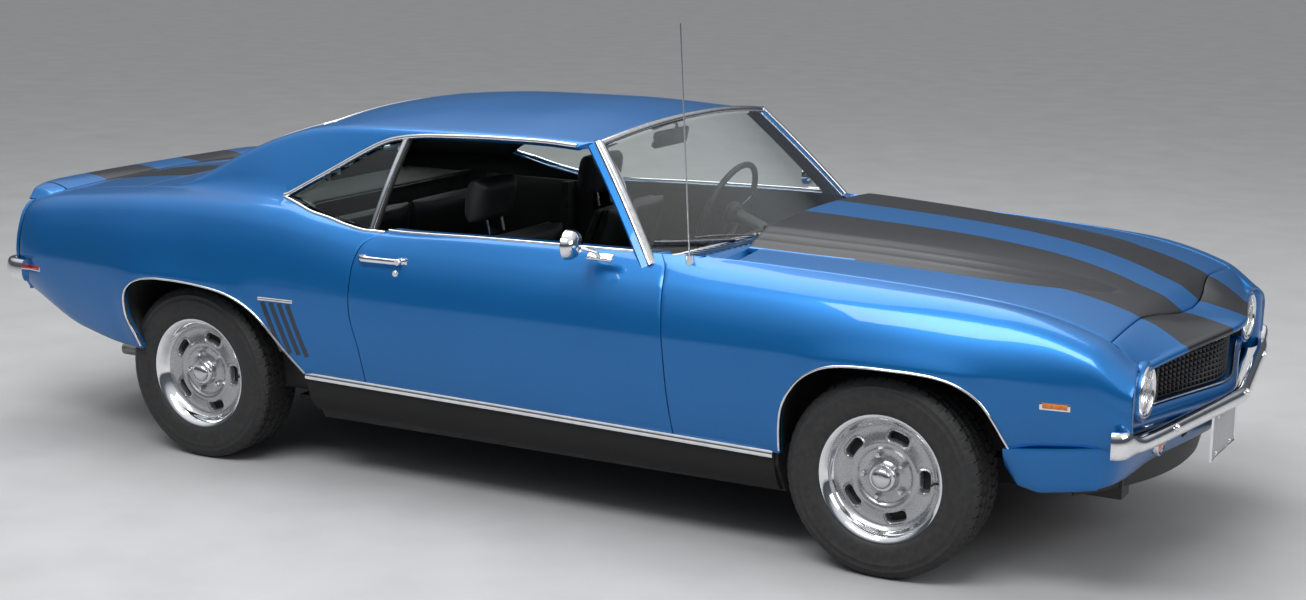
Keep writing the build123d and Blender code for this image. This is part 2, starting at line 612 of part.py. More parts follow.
def make_bumpers():
    """Bumpers with their brackets, the valance, the air dam and the plate."""
    front = bumper(FRONT_BUMPER, FRONT_BUMPER_Z, 1)
    for y in (-300, 300):
        front += block((CORE_X + CORE_WALL, NOSE_X - 60), (y - 25, y + 25), (520, 560))
    nodes["front_bumper"] = front
    rear = bumper(REAR_BUMPER, REAR_BUMPER_Z, -1)
    for y in (-300, 300):
        rear += block((TAIL_X + 22, -2234), (y - 25, y + 25), (624, 664))
    nodes["rear_bumper"] = rear
    outer = [(1884, -837), (2000, -824), (2120, -806), (2176, -770), (2205, -600), (2250, -250), (2262, 0)]
    inner = [(1884, -813), (1990, -801), (2104, -784), (2152, -750), (2180, -588), (2225, -246), (2236, 0)]
    valance = slab_z(both_sides(outer) + both_sides(inner)[::-1], 352, 500)
    valance -= slab_y(VALANCE_TOP_CUT, -900, 900)
    valance -= slab_y(((1800, 300), (1884, 350), (2000, 352), (2000, 340)), -900, 900)
    stays = [block((CORE_X + CORE_WALL, 2200), (y - 15, y + 15), (440, 460)) for y in (-430, 430)]
    nodes["front_valance"] = valance + stays
    dam = [(1975, -640), (2060, -560), (2150, -330), (2192, 0)]
    dam_inner = [(1960, -632), (2048, -550), (2138, -325), (2180, 0)]
    dam_solid = slab_z(both_sides(dam) + both_sides(dam_inner)[::-1], 246, 352)
    dam_solid -= slab_y(((1940, 235), (1975, 246), (2192, 292), (2192, 235)), -900, 900)
    ledge = [(2008, -600), (2150, -560), (2232, -200), (2240, 0)]
    ledge_inner = [(1990, -590), (2110, -430), (2150, -300), (2180, 0)]
    shelf = slab_z(both_sides(ledge) + both_sides(ledge_inner)[::-1], 344, 352)
    nodes["air_dam"] = dam_solid + shelf
    plate = block((2262, 2266), (-155, 155), (330, 480))
    for y in (-PLATE_HOLE_Y / 2, PLATE_HOLE_Y / 2):
        for z in (PLATE_Z - PLATE_HOLE_Z / 2, PLATE_Z + PLATE_HOLE_Z / 2):
            plate -= rod((2200, y, z), (2300, y, z), PLATE_HOLE_RADIUS)
    nodes["front_plate"] = plate


def roof_loft(inset, drop):
    """Solid under the roof's skin, moved in by inset and down by drop."""
    faces = []
    for x, base_y, base_z, rail_y, rail_z, crown_z in ROOF_SECTIONS:
        base, rail, crown = base_y - inset, rail_y - inset, crown_z - drop
        high = rail_z - drop
        outline = Polyline((-rail, high), (-base, base_z), (base, base_z), (rail, high))
        arch = ThreePointArc((rail, high), (0, crown), (-rail, high))
        plane = Plane((x, 0, 0), x_dir=(0, 1, 0), z_dir=(1, 0, 0))
        faces.append(plane * make_face((outline + arch).edges()))
    return loft(faces)


def windshield_front(inset):
    """All that lies in front of the windshield's face, moved back by inset."""
    faces = []
    for z, middle_x, edge_x, edge_y in WINDSHIELD_ARCS:
        arc = ThreePointArc((edge_x - inset, -edge_y), (middle_x - inset, 0), (edge_x - inset, edge_y))
        box = Polyline((edge_x - inset, edge_y), (edge_x - inset, 900), (1500, 900), (1500, -900),
                       (edge_x - inset, -900), (edge_x - inset, -edge_y))
        faces.append(Plane.XY.offset(z) * make_face((arc + box).edges()))
    return loft(faces, ruled=True)


def opening_x(corners, x_low, x_high):
    """Window opening seen from the front: low and high corner of its right half."""
    (low_y, low_z), (high_y, high_z) = corners
    return slab_x(((-low_y, low_z), (-high_y, high_z), (high_y, high_z), (low_y, low_z)), x_low, x_high)


def make_roof():
    """Roof with its pillars, the fixed glass and the panel under the rear window."""
    outer = roof_loft(0, 0)
    inner = roof_loft(ROOF_WALL, ROOF_WALL)
    front_cut = windshield_front(0)
    cabin = inner - windshield_front(ROOF_WALL)
    shell = outer - front_cut - cabin
    window = opening_x(WINDSHIELD_OPENING, 150, 900)
    rear_window = opening_x(BACKLIGHT_OPENING, -1700, -700)
    sides = slab_y(SIDE_WINDOW, -900, 900)
    shell = shell - window - rear_window - sides
    shell -= block((-1700, 900), (-900, 900), (800, 900))
    shell -= block((-1700, DECK_FRONT_X), (-690, 690), (800, 1100))
    for solid in (nodes["fender_right"], nodes["fender_left"], nodes["quarter_right"], nodes["quarter_left"]):
        shell -= solid
    shell = shell - block((480, 900), (-900, 900), (800, 936))
    shell -= slab_y(door_sketch(PANEL_GAP), -900, 900) & block((-600, 700), (-900, 900), (800, 948))
    nodes["roof_panel"] = shell.solids().sort_by(SortBy.VOLUME)[-1]
    glass = (windshield_front(GLASS_SINK + GLASS_WALL) - windshield_front(GLASS_SINK)) & window
    (x0, z0), (x1, z1) = BACKLIGHT_LINE
    slope = atan2(z0 - z1, x0 - x1)
    dx, dz = GLASS_WALL * sin(slope), -GLASS_WALL * cos(slope)
    far = 200
    start = (x0 + far * cos(slope), z0 + far * sin(slope))
    end = (x1 - far * cos(slope), z1 - far * sin(slope))
    rear_glass = slab_y((start, end, (end[0] + dx, end[1] + dz), (start[0] + dx, start[1] + dz)), -700, 700)
    rear_glass = rear_glass & rear_window
    nodes["windshield"] = glass
    nodes["rear_window"] = rear_glass & outer


def make_quarter_glass():
    """Fixed glass behind the doors and the bright post at its front edge."""
    row = ROOF_SECTIONS[2]
    tilt = (row[1] - row[3]) / (row[4] - row[2])
    low_y = row[1] - tilt * (900 - row[2]) - GLASS_SINK
    high_y = row[1] - tilt * (1300 - row[2]) - GLASS_SINK
    slab = slab_x(((-low_y, 900), (-high_y, 1300), (GLASS_WALL - high_y, 1300), (GLASS_WALL - low_y, 900)),
                  -1000, -450)
    glass = slab & slab_y(QUARTER_GLASS, -900, -500)
    glass -= nodes["quarter_right"]
    glass = glass.solids().sort_by(SortBy.VOLUME)[-1]
    nodes["quarter_windows"] = Part() + [glass, left(glass)]


def deck_row(x, drop, half):
    """Section of the deck's sheet at x, lowered by drop, out to half."""
    top = line_value(QUARTER_SECTIONS, x, 8)
    edge = line_value(QUARTER_SECTIONS, x, 7)
    share = (-1, -0.5, 0, 0.5, 1)
    return [(half * s, top + DECK_CROWN * (1 - (half * s / edge) ** 2) - drop) for s in share]


def deck_sheet(x_low, x_high, gap):
    """Crowned sheet between the quarter panels."""
    faces = []
    for x in (x_low, (x_low + x_high) / 2, x_high):
        half = line_value(QUARTER_SECTIONS, x, 7) - gap
        faces.append(face_at_x(x, deck_row(x, 0, half) + deck_row(x, PANEL_WALL, half)[::-1]))
    return loft(faces)


def make_deck():
    """Panel under the rear window, trunk lid, spoiler and tail panel."""
    shelf = deck_sheet(LID_FRONT_X + HINGE_GAP, DECK_FRONT_X, 0)
    for name in ("roof_panel", "quarter_right", "quarter_left"):
        shelf -= nodes[name]
    lid = deck_sheet(LID_REAR_X, LID_FRONT_X, HOOD_GAP)
    for sign in (-1, 1):
        y = sign * LID_HINGE_Y
        arm = slab_y(LID_ARM, y - 7, y + 7)
        arm += rod((LID_HINGE_X, y - 7, LID_HINGE_Z), (LID_HINGE_X, y + 7, LID_HINGE_Z), EYE_RADIUS + 7)
        lid += arm
        for plate_y in (y - 12, y + 12):
            shelf += block((LID_HINGE_X - 12, LID_HINGE_X + 12), (plate_y - 3, plate_y + 3),
                           (LID_HINGE_Z - 10, LID_PLATE_TOP))
        shelf += rod((LID_HINGE_X, y - 14, LID_HINGE_Z), (LID_HINGE_X, y + 14, LID_HINGE_Z), PIN_RADIUS)
    lid -= rod((LID_HINGE_X, -900, LID_HINGE_Z), (LID_HINGE_X, 900, LID_HINGE_Z), PIN_RADIUS + RUN_CLEARANCE)
    nodes["deck_panel"] = shelf.solids().sort_by(SortBy.VOLUME)[-1]
    faces = []
    for y, rise, rear in ((-734, 4, 18), (-560, 34, 4), (0, 44, 0), (560, 34, 4), (734, 4, 18)):
        base_z = line_value(QUARTER_SECTIONS, -2200, 8)
        points = ((-2040, base_z + 30), (SPOILER_REAR_X + rear, base_z + rise),
                  (SPOILER_REAR_X + 10 + rear, base_z - 26), (-2200, base_z - 30), (-2040, base_z - 4))
        faces.append(Plane((0, y, 0), x_dir=(1, 0, 0), z_dir=(0, -1, 0)) * Polygon(*points, align=None))
    spoiler = loft(faces, ruled=True)
    edge = [(x, -line_value(QUARTER_SECTIONS, x, 7)) for x in (-1900, -2200)]
    edge.append((-2400, edge[-1][1]))
    inner = slab_z(both_sides([(x, y + PANEL_GAP) for x, y in edge]), 800, 1100)
    middle = (spoiler & inner) - lid
    nodes["rear_spoiler"] = middle.solids().sort_by(SortBy.VOLUME)[-1]
    nodes["trunk_lid"] = lid
    faces = []
    for y, rise, rear, front_z, rear_z in SPOILER_END_SECTIONS:
        points = ((SPOILER_FRONT_X, front_z + 8), (SPOILER_REAR_X + rear, base_z + rise),
                  (SPOILER_REAR_X + 10 + rear, base_z - 26), (SPOILER_FOOT_X, base_z - 30),
                  (SPOILER_FOOT_X, rear_z), (SPOILER_FRONT_X, front_z))
        faces.append(Plane((0, y, 0), x_dir=(1, 0, 0), z_dir=(0, -1, 0)) * Polygon(*points, align=None))
    end = loft(faces, ruled=True)
    nodes["spoiler_ends"] = Part() + [end, left(end)]
    outer = [(-2196, -800), (-2228, -560), (-2240, 0)]
    inner = [(-2170, -790), (-2203, -552), (-2214, 0)]
    tail_top = line_value(QUARTER_SECTIONS, -2200, 8) - 40
    tail = slab_z(both_sides(outer) + both_sides(inner)[::-1], 470, tail_top)
    tail = tail - nodes["quarter_right"] - nodes["quarter_left"]
    lamps = []
    for sign in (-1, 1):
        low, high = sorted((sign * TAIL_LAMP_Y[0], sign * TAIL_LAMP_Y[1]))
        lamp = block((-2262, -2190), (low, high), TAIL_LAMP_Z)
        tail -= lamp
        lamps.append(lamp)
    nodes["tail_panel"] = tail.solids().sort_by(SortBy.VOLUME)[-1]
    nodes["rear_bumper"] = (nodes["rear_bumper"] - tail).solids().sort_by(SortBy.VOLUME)[-1]
    nodes["tail_lamps"] = Part() + lamps


def make_cowl():
    """Cowl panel between hood and windshield."""
    cowl = slab_y(COWL_PROFILE, -750, 750) - slab_y(COWL_HOLLOW, -COWL_HOLLOW_HALF, COWL_HOLLOW_HALF)
    cowl -= roof_loft(0, 0) - windshield_front(0)
    for name in ("fender_right", "fender_left", "roof_panel", "windshield", "hood"):
        cowl -= nodes[name]
    cowl -= slab_y(door_sketch(HINGE_GAP), -900, 900)
    for sign in (-1, 1):
        for offset_y in (-20, 20):
            y = sign * HOOD_HINGE_Y + offset_y
            cowl += rod((HOOD_HINGE_X, y - 4, HOOD_HINGE_Z), (HOOD_HINGE_X, y + 4, HOOD_HINGE_Z), EYE_RADIUS)
            cowl += block((830, HOOD_HINGE_X), (y - 4, y + 4), (880, HOOD_HINGE_Z))
        cowl += rod((HOOD_HINGE_X, sign * HOOD_HINGE_Y - 22, HOOD_HINGE_Z),
                    (HOOD_HINGE_X, sign * HOOD_HINGE_Y + 22, HOOD_HINGE_Z), PIN_RADIUS)
    nodes["cowl_panel"] = cowl.solids().sort_by(SortBy.VOLUME)[-1]


def make_floor_pan():
    """Floor with its tunnel, sills, kick-up to the trunk and lock pillars."""
    floor_top = FLOOR_Z + FLOOR_WALL
    pan = block((FLOOR_REAR_X, FLOOR_FRONT_X), (-FLOOR_HALF, FLOOR_HALF), (FLOOR_Z, floor_top))
    low, high = TUNNEL_HALF, TUNNEL_HALF - 50
    pan += slab_x(((-low, FLOOR_Z), (-high, TUNNEL_TOP), (high, TUNNEL_TOP), (low, FLOOR_Z)),
                  FLOOR_REAR_X, FLOOR_FRONT_X)
    pan -= slab_x(((20 - low, FLOOR_Z - 1), (18 - high, TUNNEL_TOP - 18), (high - 18, TUNNEL_TOP - 18),
                   (low - 20, FLOOR_Z - 1)), FLOOR_REAR_X - 1, FLOOR_FRONT_X + 1)
    for sign in (-1, 1):
        faces = []
        for x, top in zip(ROCKER_ENDS, ROCKER_TOPS):
            faces.append(face_at_x(x, [(sign * y, z) for y, z in (
                (ROCKER_OUTER, top), (ROCKER_OUTER - 4, top - 50), (ROCKER_FOOT_Y, ROCKER_FOOT_Z),
                (FLOOR_HALF - 10, ROCKER_FOOT_Z), (FLOOR_HALF - 10, top))]))
        pan += loft(faces)
        pan += block(LOCK_PILLAR_X, sorted((sign * (FLOOR_HALF - 10), sign * SHELL_SIDE_Y)), (370, 900))
        pan -= slab_y(door_sketch(DOOR_CLEARANCE), *sorted((sign * 740, sign * 1000)))
        pan -= block((DOOR_SWING_X, FLOOR_FRONT_X), sorted((sign * FLOOR_HALF, sign * 760)),
                     (DOOR_SWING_FLOOR_Z, 400))
    pan += slab_y(((FLOOR_REAR_X + 30, floor_top), (FLOOR_REAR_X, FLOOR_Z), (FLOOR_REAR_X - 60, FLOOR_Z + 20),
                   (SEAT_BACK_WALL_X - 40, TRUNK_FLOOR_Z), (SEAT_BACK_WALL_X, TRUNK_FLOOR_Z + FLOOR_WALL)),
                  -TRUNK_HALF, TRUNK_HALF)
    return pan


def make_firewall():
    """Wall between engine and cabin."""
    return block((FLOOR_FRONT_X, FLOOR_FRONT_X + FLOOR_WALL), (-FLOOR_HALF, FLOOR_HALF),
                 (FLOOR_Z, FIREWALL_TOP_Z))


def make_hinge_pillar():
    """Pillar in front of the door with the fixed half of its hinge, on the car's right."""
    inner_y = DOOR_HINGE_Y - DOOR_HINGE_REACH
    low, high = DOOR_HINGE_Z - DOOR_LEAF_HALF + 2, DOOR_HINGE_Z + DOOR_LEAF_HALF - 2
    pillar = block((FLOOR_FRONT_X, HINGE_PILLAR_X), (-PILLAR_OUTER, -FLOOR_HALF),
                   (PILLAR_FOOT_Z, FIREWALL_TOP_Z))
    pin = (DOOR_HINGE_X, -DOOR_HINGE_Y)
    pillar += rod((*pin, low), (*pin, high), PIN_RADIUS)
    leaf_x = (DOOR_HINGE_X - EYE_RADIUS, FLOOR_FRONT_X + 10)
    pillar += block(leaf_x, (-inner_y, HINGE_PLATE - inner_y), (low, high))
    for z in (low, high - HINGE_PLATE):
        pillar += block((DOOR_HINGE_X - EYE_RADIUS, DOOR_HINGE_X + EYE_RADIUS), (-DOOR_HINGE_Y, -inner_y),
                        (z, z + HINGE_PLATE))
        pillar += rod((*pin, z), (*pin, z + HINGE_PLATE), EYE_RADIUS)
    return pillar


def make_apron():
    """Inner wall and shelf beside the engine, on the car's right."""
    apron = block((FLOOR_FRONT_X + FLOOR_WALL, CORE_X), (-APRON_Y - APRON_WALL, -APRON_Y), (420, APRON_TOP_Z))
    return apron + block((HINGE_PILLAR_X, CORE_X), (-800, -APRON_Y), (APRON_TOP_Z - 14, APRON_TOP_Z))


def make_trunk_floor():
    """Trunk floor and the wall behind the rear seat."""
    trunk = block((TRUNK_REAR_X, SEAT_BACK_WALL_X), (-TRUNK_HALF, TRUNK_HALF),
                  (TRUNK_FLOOR_Z, TRUNK_FLOOR_Z + FLOOR_WALL))
    return trunk + block((SEAT_BACK_WALL_X - SEAT_BACK_WALL, SEAT_BACK_WALL_X), (-640, 640),
                         (TRUNK_FLOOR_Z, 930))


def make_trunk_side():
    """Side wall of the trunk and its shelf, on the car's right."""
    x_range = (TRUNK_REAR_X, SEAT_BACK_WALL_X - SEAT_BACK_WALL)
    wall = block(x_range, (-TRUNK_HALF - APRON_WALL, -TRUNK_HALF), (TRUNK_FLOOR_Z, APRON_TOP_Z))
    return wall + block(x_range, (-SHELL_SIDE_Y, -TRUNK_HALF), (APRON_TOP_Z - APRON_WALL, APRON_TOP_Z))


def make_underbody():
    """The welded shell under the panels, cut clear of them and of the wheel arches."""
    pan = make_floor_pan()
    core = block((CORE_X, CORE_X + CORE_WALL), (-770, 770), (440, 780))
    shells = {"floor_pan": pan, "firewall": make_firewall() - pan,
              "hinge_pillars": make_hinge_pillar() - pan,
              "aprons": make_apron(), "trunk_floor": make_trunk_floor() - pan,
              "trunk_sides": make_trunk_side() - pan, "radiator_support": core}
    arches = []
    for axle_x, corners, radii in ((FRONT_AXLE_X, FRONT_ARCH, FRONT_ARCH_RADII),
                                   (REAR_AXLE_X, REAR_ARCH, REAR_ARCH_RADII)):
        for sign in (-1, 1):
            low, high = sorted((sign * (TRUNK_HALF + 40), sign * 1000))
            arches.append(slab_y(arch_sketch(axle_x, corners, radii, 0), low, high))
    for name, shell in shells.items():
        for arch in arches:
            shell -= arch
        for other in UNDER_PANELS[name]:
            shell -= nodes[other]
        shell = shell.solids().sort_by(SortBy.VOLUME)[-1]
        if name in SHELL_PAIRS:
            nodes[name] = Part() + [shell, left(shell)]
        else:
            nodes[name] = shell


def ring(start, end, outer, inner):
    """Round sleeve from start to end."""
    return rod(start, end, outer) - rod(start, end, inner)


def make_running_gear():
    """Subframe with its arms, knuckles, rear axle with springs, engine, exhaust and tank."""
    axle_z = TYRE_RADIUS
    arm_low = axle_z - ARM_HALF_SPREAD
    arm_high = axle_z + ARM_HALF_SPREAD
    frame = block((1340, 1500), (-430, 430), (190, 262))
    for sign in (-1, 1):
        frame += block((760, CORE_X), sorted((sign * 360, sign * 440)), (250, 330))
        frame += block((CORE_X - 40, CORE_X), sorted((sign * 360, sign * 440)), (320, 500))
        frame += block((742, 800), sorted((sign * 360, sign * 440)), (FLOOR_Z, 330))
        frame += block((1380, 1470), sorted((sign * 400, sign * 480)), (300, arm_high + 20))
        for z in (arm_low, arm_high):
            root = ARM_EYE_RADIUS
            outline = [(1340, sign * 410), (1514, sign * 410),
                       (FRONT_AXLE_X + root, sign * (STEER_AXIS_Y - 8)),
                       (FRONT_AXLE_X - root, sign * (STEER_AXIS_Y - 8))]
            frame += slab_z(outline, z - ARM_THICK / 2, z + ARM_THICK / 2)
            frame += rod((FRONT_AXLE_X, sign * STEER_AXIS_Y, z - ARM_THICK / 2),
                         (FRONT_AXLE_X, sign * STEER_AXIS_Y, z + ARM_THICK / 2), ARM_EYE_RADIUS)
    for sign in (-1, 1):
        frame -= rod((FRONT_AXLE_X, sign * STEER_AXIS_Y, 100), (FRONT_AXLE_X, sign * STEER_AXIS_Y, 600),
                     POST_RADIUS + RUN_CLEARANCE)
    frame = frame - nodes["floor_pan"] - nodes["firewall"]
    nodes["front_subframe"] = frame.solids().sort_by(SortBy.VOLUME)[-1]
    inner_disc = TRACK / 2 + DISC_FACE + 6
    for side, sign in (("right", -1), ("left", 1)):
        post = rod((FRONT_AXLE_X, sign * STEER_AXIS_Y, axle_z - POST_HALF),
                   (FRONT_AXLE_X, sign * STEER_AXIS_Y, axle_z + POST_HALF), POST_RADIUS)
        pivot = (FRONT_AXLE_X, sign * STEER_AXIS_Y)
        boss = rod((*pivot, axle_z - 52), (*pivot, axle_z + 52), SPINDLE_RADIUS + 2.5)
        spindle = rod((*pivot, axle_z), (FRONT_AXLE_X, sign * inner_disc, axle_z), SPINDLE_RADIUS)
        nodes[f"knuckle_{side}"] = post + boss + spindle
    axle = rod((REAR_AXLE_X, -inner_disc, axle_z), (REAR_AXLE_X, inner_disc, axle_z), SPINDLE_RADIUS)
    axle += rod((REAR_AXLE_X, -680, axle_z), (REAR_AXLE_X, 680, axle_z), 36)
    axle += Pos(REAR_AXLE_X, 0, axle_z) * Sphere(118)
    for sign in (-1, 1):
        low, high = sorted((sign * 440, sign * 500))
        axle += slab_y(LEAF_SPRING, low, high)
        axle += block((-1940, -1915), (low, high), (425, TRUNK_FLOOR_Z))
        axle += block((REAR_AXLE_X - 60, REAR_AXLE_X + 60), (low, high), (262, 310))
    axle = axle - nodes["floor_pan"] - nodes["trunk_floor"]
    nodes["rear_axle"] = axle.solids().sort_by(SortBy.VOLUME)[-1]
    engine = block((940, 1560), (-270, 270), (262, 780)) + block((1560, 1620), (-120, 120), (340, 700))
    nodes["engine"] = engine - nodes["front_subframe"]
    pipes = []
    for sign in (-1, 1):
        y = sign * 250
        pipe = ring((900, y, 196), (-2246, y, 196), 26, 22)
        muffler = block((-860, -240), sorted((y - 100, y + 100)), (150, 232))
        hanger = [block((x - 8, x + 8), sorted((y - 6, y + 6)), (218, FLOOR_Z)) for x in (600, -120, -900)]
        hanger.append(block((-2130, -2110), sorted((y - 6, y + 6)), (218, TRUNK_FLOOR_Z)))
        down = rod((900, y, 196), (986, y, 262), 24)
        pipe += muffler + hanger + down
        for name in ("floor_pan", "trunk_floor", "engine", "front_subframe"):
            pipe -= nodes[name]
        pipes.append(pipe)
    nodes["exhaust"] = Part() + [p.solids().sort_by(SortBy.VOLUME)[-1] for p in pipes]
    nodes["fuel_tank"] = block((-2090, -1560), (-200, 200), (300, TRUNK_FLOOR_Z))


def make_cabin():
    """Seats, dashboard and steering wheel."""
    half = SEAT_WIDTH / 2
    seats = []
    for sign in (-1, 1):
        centre = sign * SEAT_Y
        cushion = slab_y(SEAT_CUSHION, centre - half, centre + half)
        back = slab_y(SEAT_BACK, centre - half + 20, centre + half - 20)
        rest = slab_y(HEADREST, centre - HEADREST_HALF, centre + HEADREST_HALF)
        rails = block((-120, 280), (centre - half + 60, centre + half - 60), (FLOOR_Z + FLOOR_WALL, 310))
        seats.append(cushion + back + rest + rails)
    nodes["front_seats"] = Part() + seats
    bench = slab_y(BENCH_CUSHION, -BENCH_HALF, BENCH_HALF) + slab_y(BENCH_BACK, -BENCH_HALF, BENCH_HALF)
    tunnel = block((-1000, -500), (-TUNNEL_HALF, TUNNEL_HALF), (200, TUNNEL_TOP + 8))
    legs = [block((-900, -600), (y - 40, y + 40), (FLOOR_Z + FLOOR_WALL, 340)) for y in (-400, 400)]
    bench = bench + legs - tunnel - nodes["floor_pan"] - nodes["trunk_floor"]
    nodes["rear_seat"] = bench.solids().sort_by(SortBy.VOLUME)[-1]
    x, y, z = WHEEL_CENTRE
    aim = (cos(radians(COLUMN_FALL)), 0, -sin(radians(COLUMN_FALL)))
    reach = (COLUMN_FRONT_X - x) / aim[0]
    shaft_end = (x + aim[0] * reach, y, z + aim[2] * reach)
    panel = slab_y(DASH_PROFILE, -DASH_HALF, DASH_HALF) - rod(WHEEL_CENTRE, shaft_end, COLUMN_RADIUS + 8)
    panel = panel - nodes["cowl_panel"] - nodes["firewall"]
    nodes["dashboard"] = panel.solids().sort_by(SortBy.VOLUME)[-1]
    nodes["firewall"] -= rod(WHEEL_CENTRE, shaft_end, COLUMN_RADIUS + COLUMN_BORE)
    plane = Plane(WHEEL_CENTRE, z_dir=aim)
    ring_part = plane * Torus(STEERING_WHEEL_RADIUS, 13)
    hub = plane * Pos(0, 0, 12) * Cylinder(42, 30)
    spokes = [plane * Rot(0, 0, a) * Pos(STEERING_WHEEL_RADIUS / 2, 0, 8) * Box(STEERING_WHEEL_RADIUS, 34, 8)
              for a in (0, 90, 180, 270)]
    nodes["steering_wheel"] = ring_part + hub + spokes + rod(WHEEL_CENTRE, shaft_end, COLUMN_RADIUS)


def make_antenna():
    """Whip antenna on the right fender."""
    base = (711, -768)
    top_z = line_value(FENDER_SECTIONS, base[0], 8) - 14
    mast = rod((base[0], base[1], top_z - 20), (base[0] - 44, base[1], 1684), 2.5)
    foot = rod((base[0], base[1], top_z - 30), (base[0], base[1], top_z + 22), 14)
    nodes["antenna"] = (mast + foot - nodes["fender_right"]).solids().sort_by(SortBy.VOLUME)[-1]


nodes = {}
fender, door, quarter = make_body_sides()
make_doors(door)
make_wheels()
for name, piece in (("fender", fender), ("quarter", quarter)):
    nodes[f"{name}_right"] = piece
    nodes[f"{name}_left"] = left(piece)
make_hood()
make_header()
make_grille()
make_bumpers()
make_roof()
make_deck()
make_quarter_glass()
make_cowl()
make_underbody()
make_running_gear()
make_cabin()
make_antenna()

os.makedirs("parts", exist_ok=True)
for name, solid in nodes.items():
    export_step(solid, f"parts/{name}.step")
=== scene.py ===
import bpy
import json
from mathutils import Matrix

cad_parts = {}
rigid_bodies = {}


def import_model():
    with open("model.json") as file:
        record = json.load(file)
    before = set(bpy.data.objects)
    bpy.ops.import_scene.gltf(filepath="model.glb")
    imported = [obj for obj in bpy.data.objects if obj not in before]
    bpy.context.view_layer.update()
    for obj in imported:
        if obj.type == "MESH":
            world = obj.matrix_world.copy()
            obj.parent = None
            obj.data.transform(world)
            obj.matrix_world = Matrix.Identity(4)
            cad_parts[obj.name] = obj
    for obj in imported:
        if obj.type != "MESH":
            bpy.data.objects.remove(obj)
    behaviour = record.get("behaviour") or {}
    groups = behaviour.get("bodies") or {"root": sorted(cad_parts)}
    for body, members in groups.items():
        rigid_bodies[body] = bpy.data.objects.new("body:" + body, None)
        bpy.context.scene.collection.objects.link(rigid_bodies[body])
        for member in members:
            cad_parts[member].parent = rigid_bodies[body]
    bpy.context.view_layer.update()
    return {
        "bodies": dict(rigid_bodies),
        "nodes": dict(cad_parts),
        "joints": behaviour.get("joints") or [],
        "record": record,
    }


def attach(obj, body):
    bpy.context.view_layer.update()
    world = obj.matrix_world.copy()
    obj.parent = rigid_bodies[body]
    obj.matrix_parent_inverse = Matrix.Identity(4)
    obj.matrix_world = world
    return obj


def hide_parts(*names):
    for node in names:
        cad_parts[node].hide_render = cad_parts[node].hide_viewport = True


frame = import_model()

import json
from math import cos, pi, radians, sin

import bmesh
import bpy
import numpy as np
from bpy.props import FloatProperty, FloatVectorProperty, IntProperty, PointerProperty
from mathutils import Matrix, Vector
from mathutils.geometry import delaunay_2d_cdt

bl_info = {
    "name": "Two-door Hardtop",
    "version": (1, 0, 0),
    "blender": (4, 5, 0),
    "location": "3D View > Sidebar > Hardtop",
    "description": "Dresses the packed hardtop car with its panels, trim, wheels, glass and cabin",
    "category": "Object",
}

MM = 0.001
PANEL_GAP = 6.0
EDGE_ROLL = 1.4
AXLE_X = {"front": 1427.0, "rear": -1316.0}
TRACK_HALF = 757.0
TYRE_RADIUS = 325.0
SIDES = (("right", -1), ("left", 1))
# A triangle with a side of this length is a sliver along a straight edge, and is left out
SLIVER = 150.0

# Half section of the body at X, lines from the sill up to the middle of the roof.
# Columns: x, sill_y, sill_z, crease_y, crease_z, shoulder_y, shoulder_z, edge_y, edge_z,
# rail_y, rail_z, crown_z, edge_cut (rounding where the roof side meets the body)
BODY_SECTIONS = np.array((
    (-2216, 772, 560, 828, 694, 764, 874, 642, 906, 642, 940, 950, 3),
    (-2196, 796, 556, 850, 695, 786, 888, 648, 912, 648, 940, 950, 3),
    (-1900, 832, 438, 893, 702, 813, 932, 668, 956, 668, 985, 995, 3),
    (-1600, 866, 398, 921, 701, 830, 956, 690, 984, 690, 1000, 1010, 3),
    (-1500, 869, 397, 924, 702, 834, 960, 702, 991, 690, 1002, 1016, 10),
    (-1400, 870, 396, 927, 703, 838, 964, 712, 998, 682, 1044, 1074, 44),
    (-1200, 866, 395, 925, 703, 846, 965, 733, 1005, 662, 1142, 1180, 60),
    (-1050, 860, 394, 918, 702, 848, 961, 748, 1008, 640, 1202, 1242, 60),
    (-900, 857, 391, 909, 699, 844, 950, 756, 1000, 628, 1240, 1290, 44),
    (-715, 853, 389, 901, 696, 836, 926, 770, 957, 632, 1258, 1318, 6),
    (-440, 850, 384, 891, 692, 820, 901, 777, 924, 638, 1266, 1334, 3),
    (-100, 846, 378, 887, 692, 813, 903, 778, 933, 640, 1270, 1337, 3),
    (300, 846, 372, 888, 694, 813, 903, 778, 940, 640, 1262, 1305, 3),
    (560, 846, 368, 890, 694, 814, 898, 764, 942, 640, 1244, 1280, 3),
    (820, 846, 364, 895, 696, 816, 897, 724, 940, 640, 1230, 1262, 3),
    (1090, 848, 362, 900, 698, 816, 896, 717, 932, 640, 1230, 1262, 3),
    (1427, 850, 400, 905, 701, 812, 893, 712, 918, 640, 1230, 1262, 3),
    (1760, 838, 472, 890, 701, 797, 880, 706, 891, 640, 1230, 1262, 3),
    (2060, 820, 506, 850, 684, 800, 808, 700, 818, 640, 1230, 1262, 3),
    (2170, 808, 517, 831, 640, 804, 730, 694, 744, 640, 1230, 1262, 3),
    (2192, 802, 520, 822, 632, 800, 713, 692, 732, 640, 1230, 1262, 3),
), float)

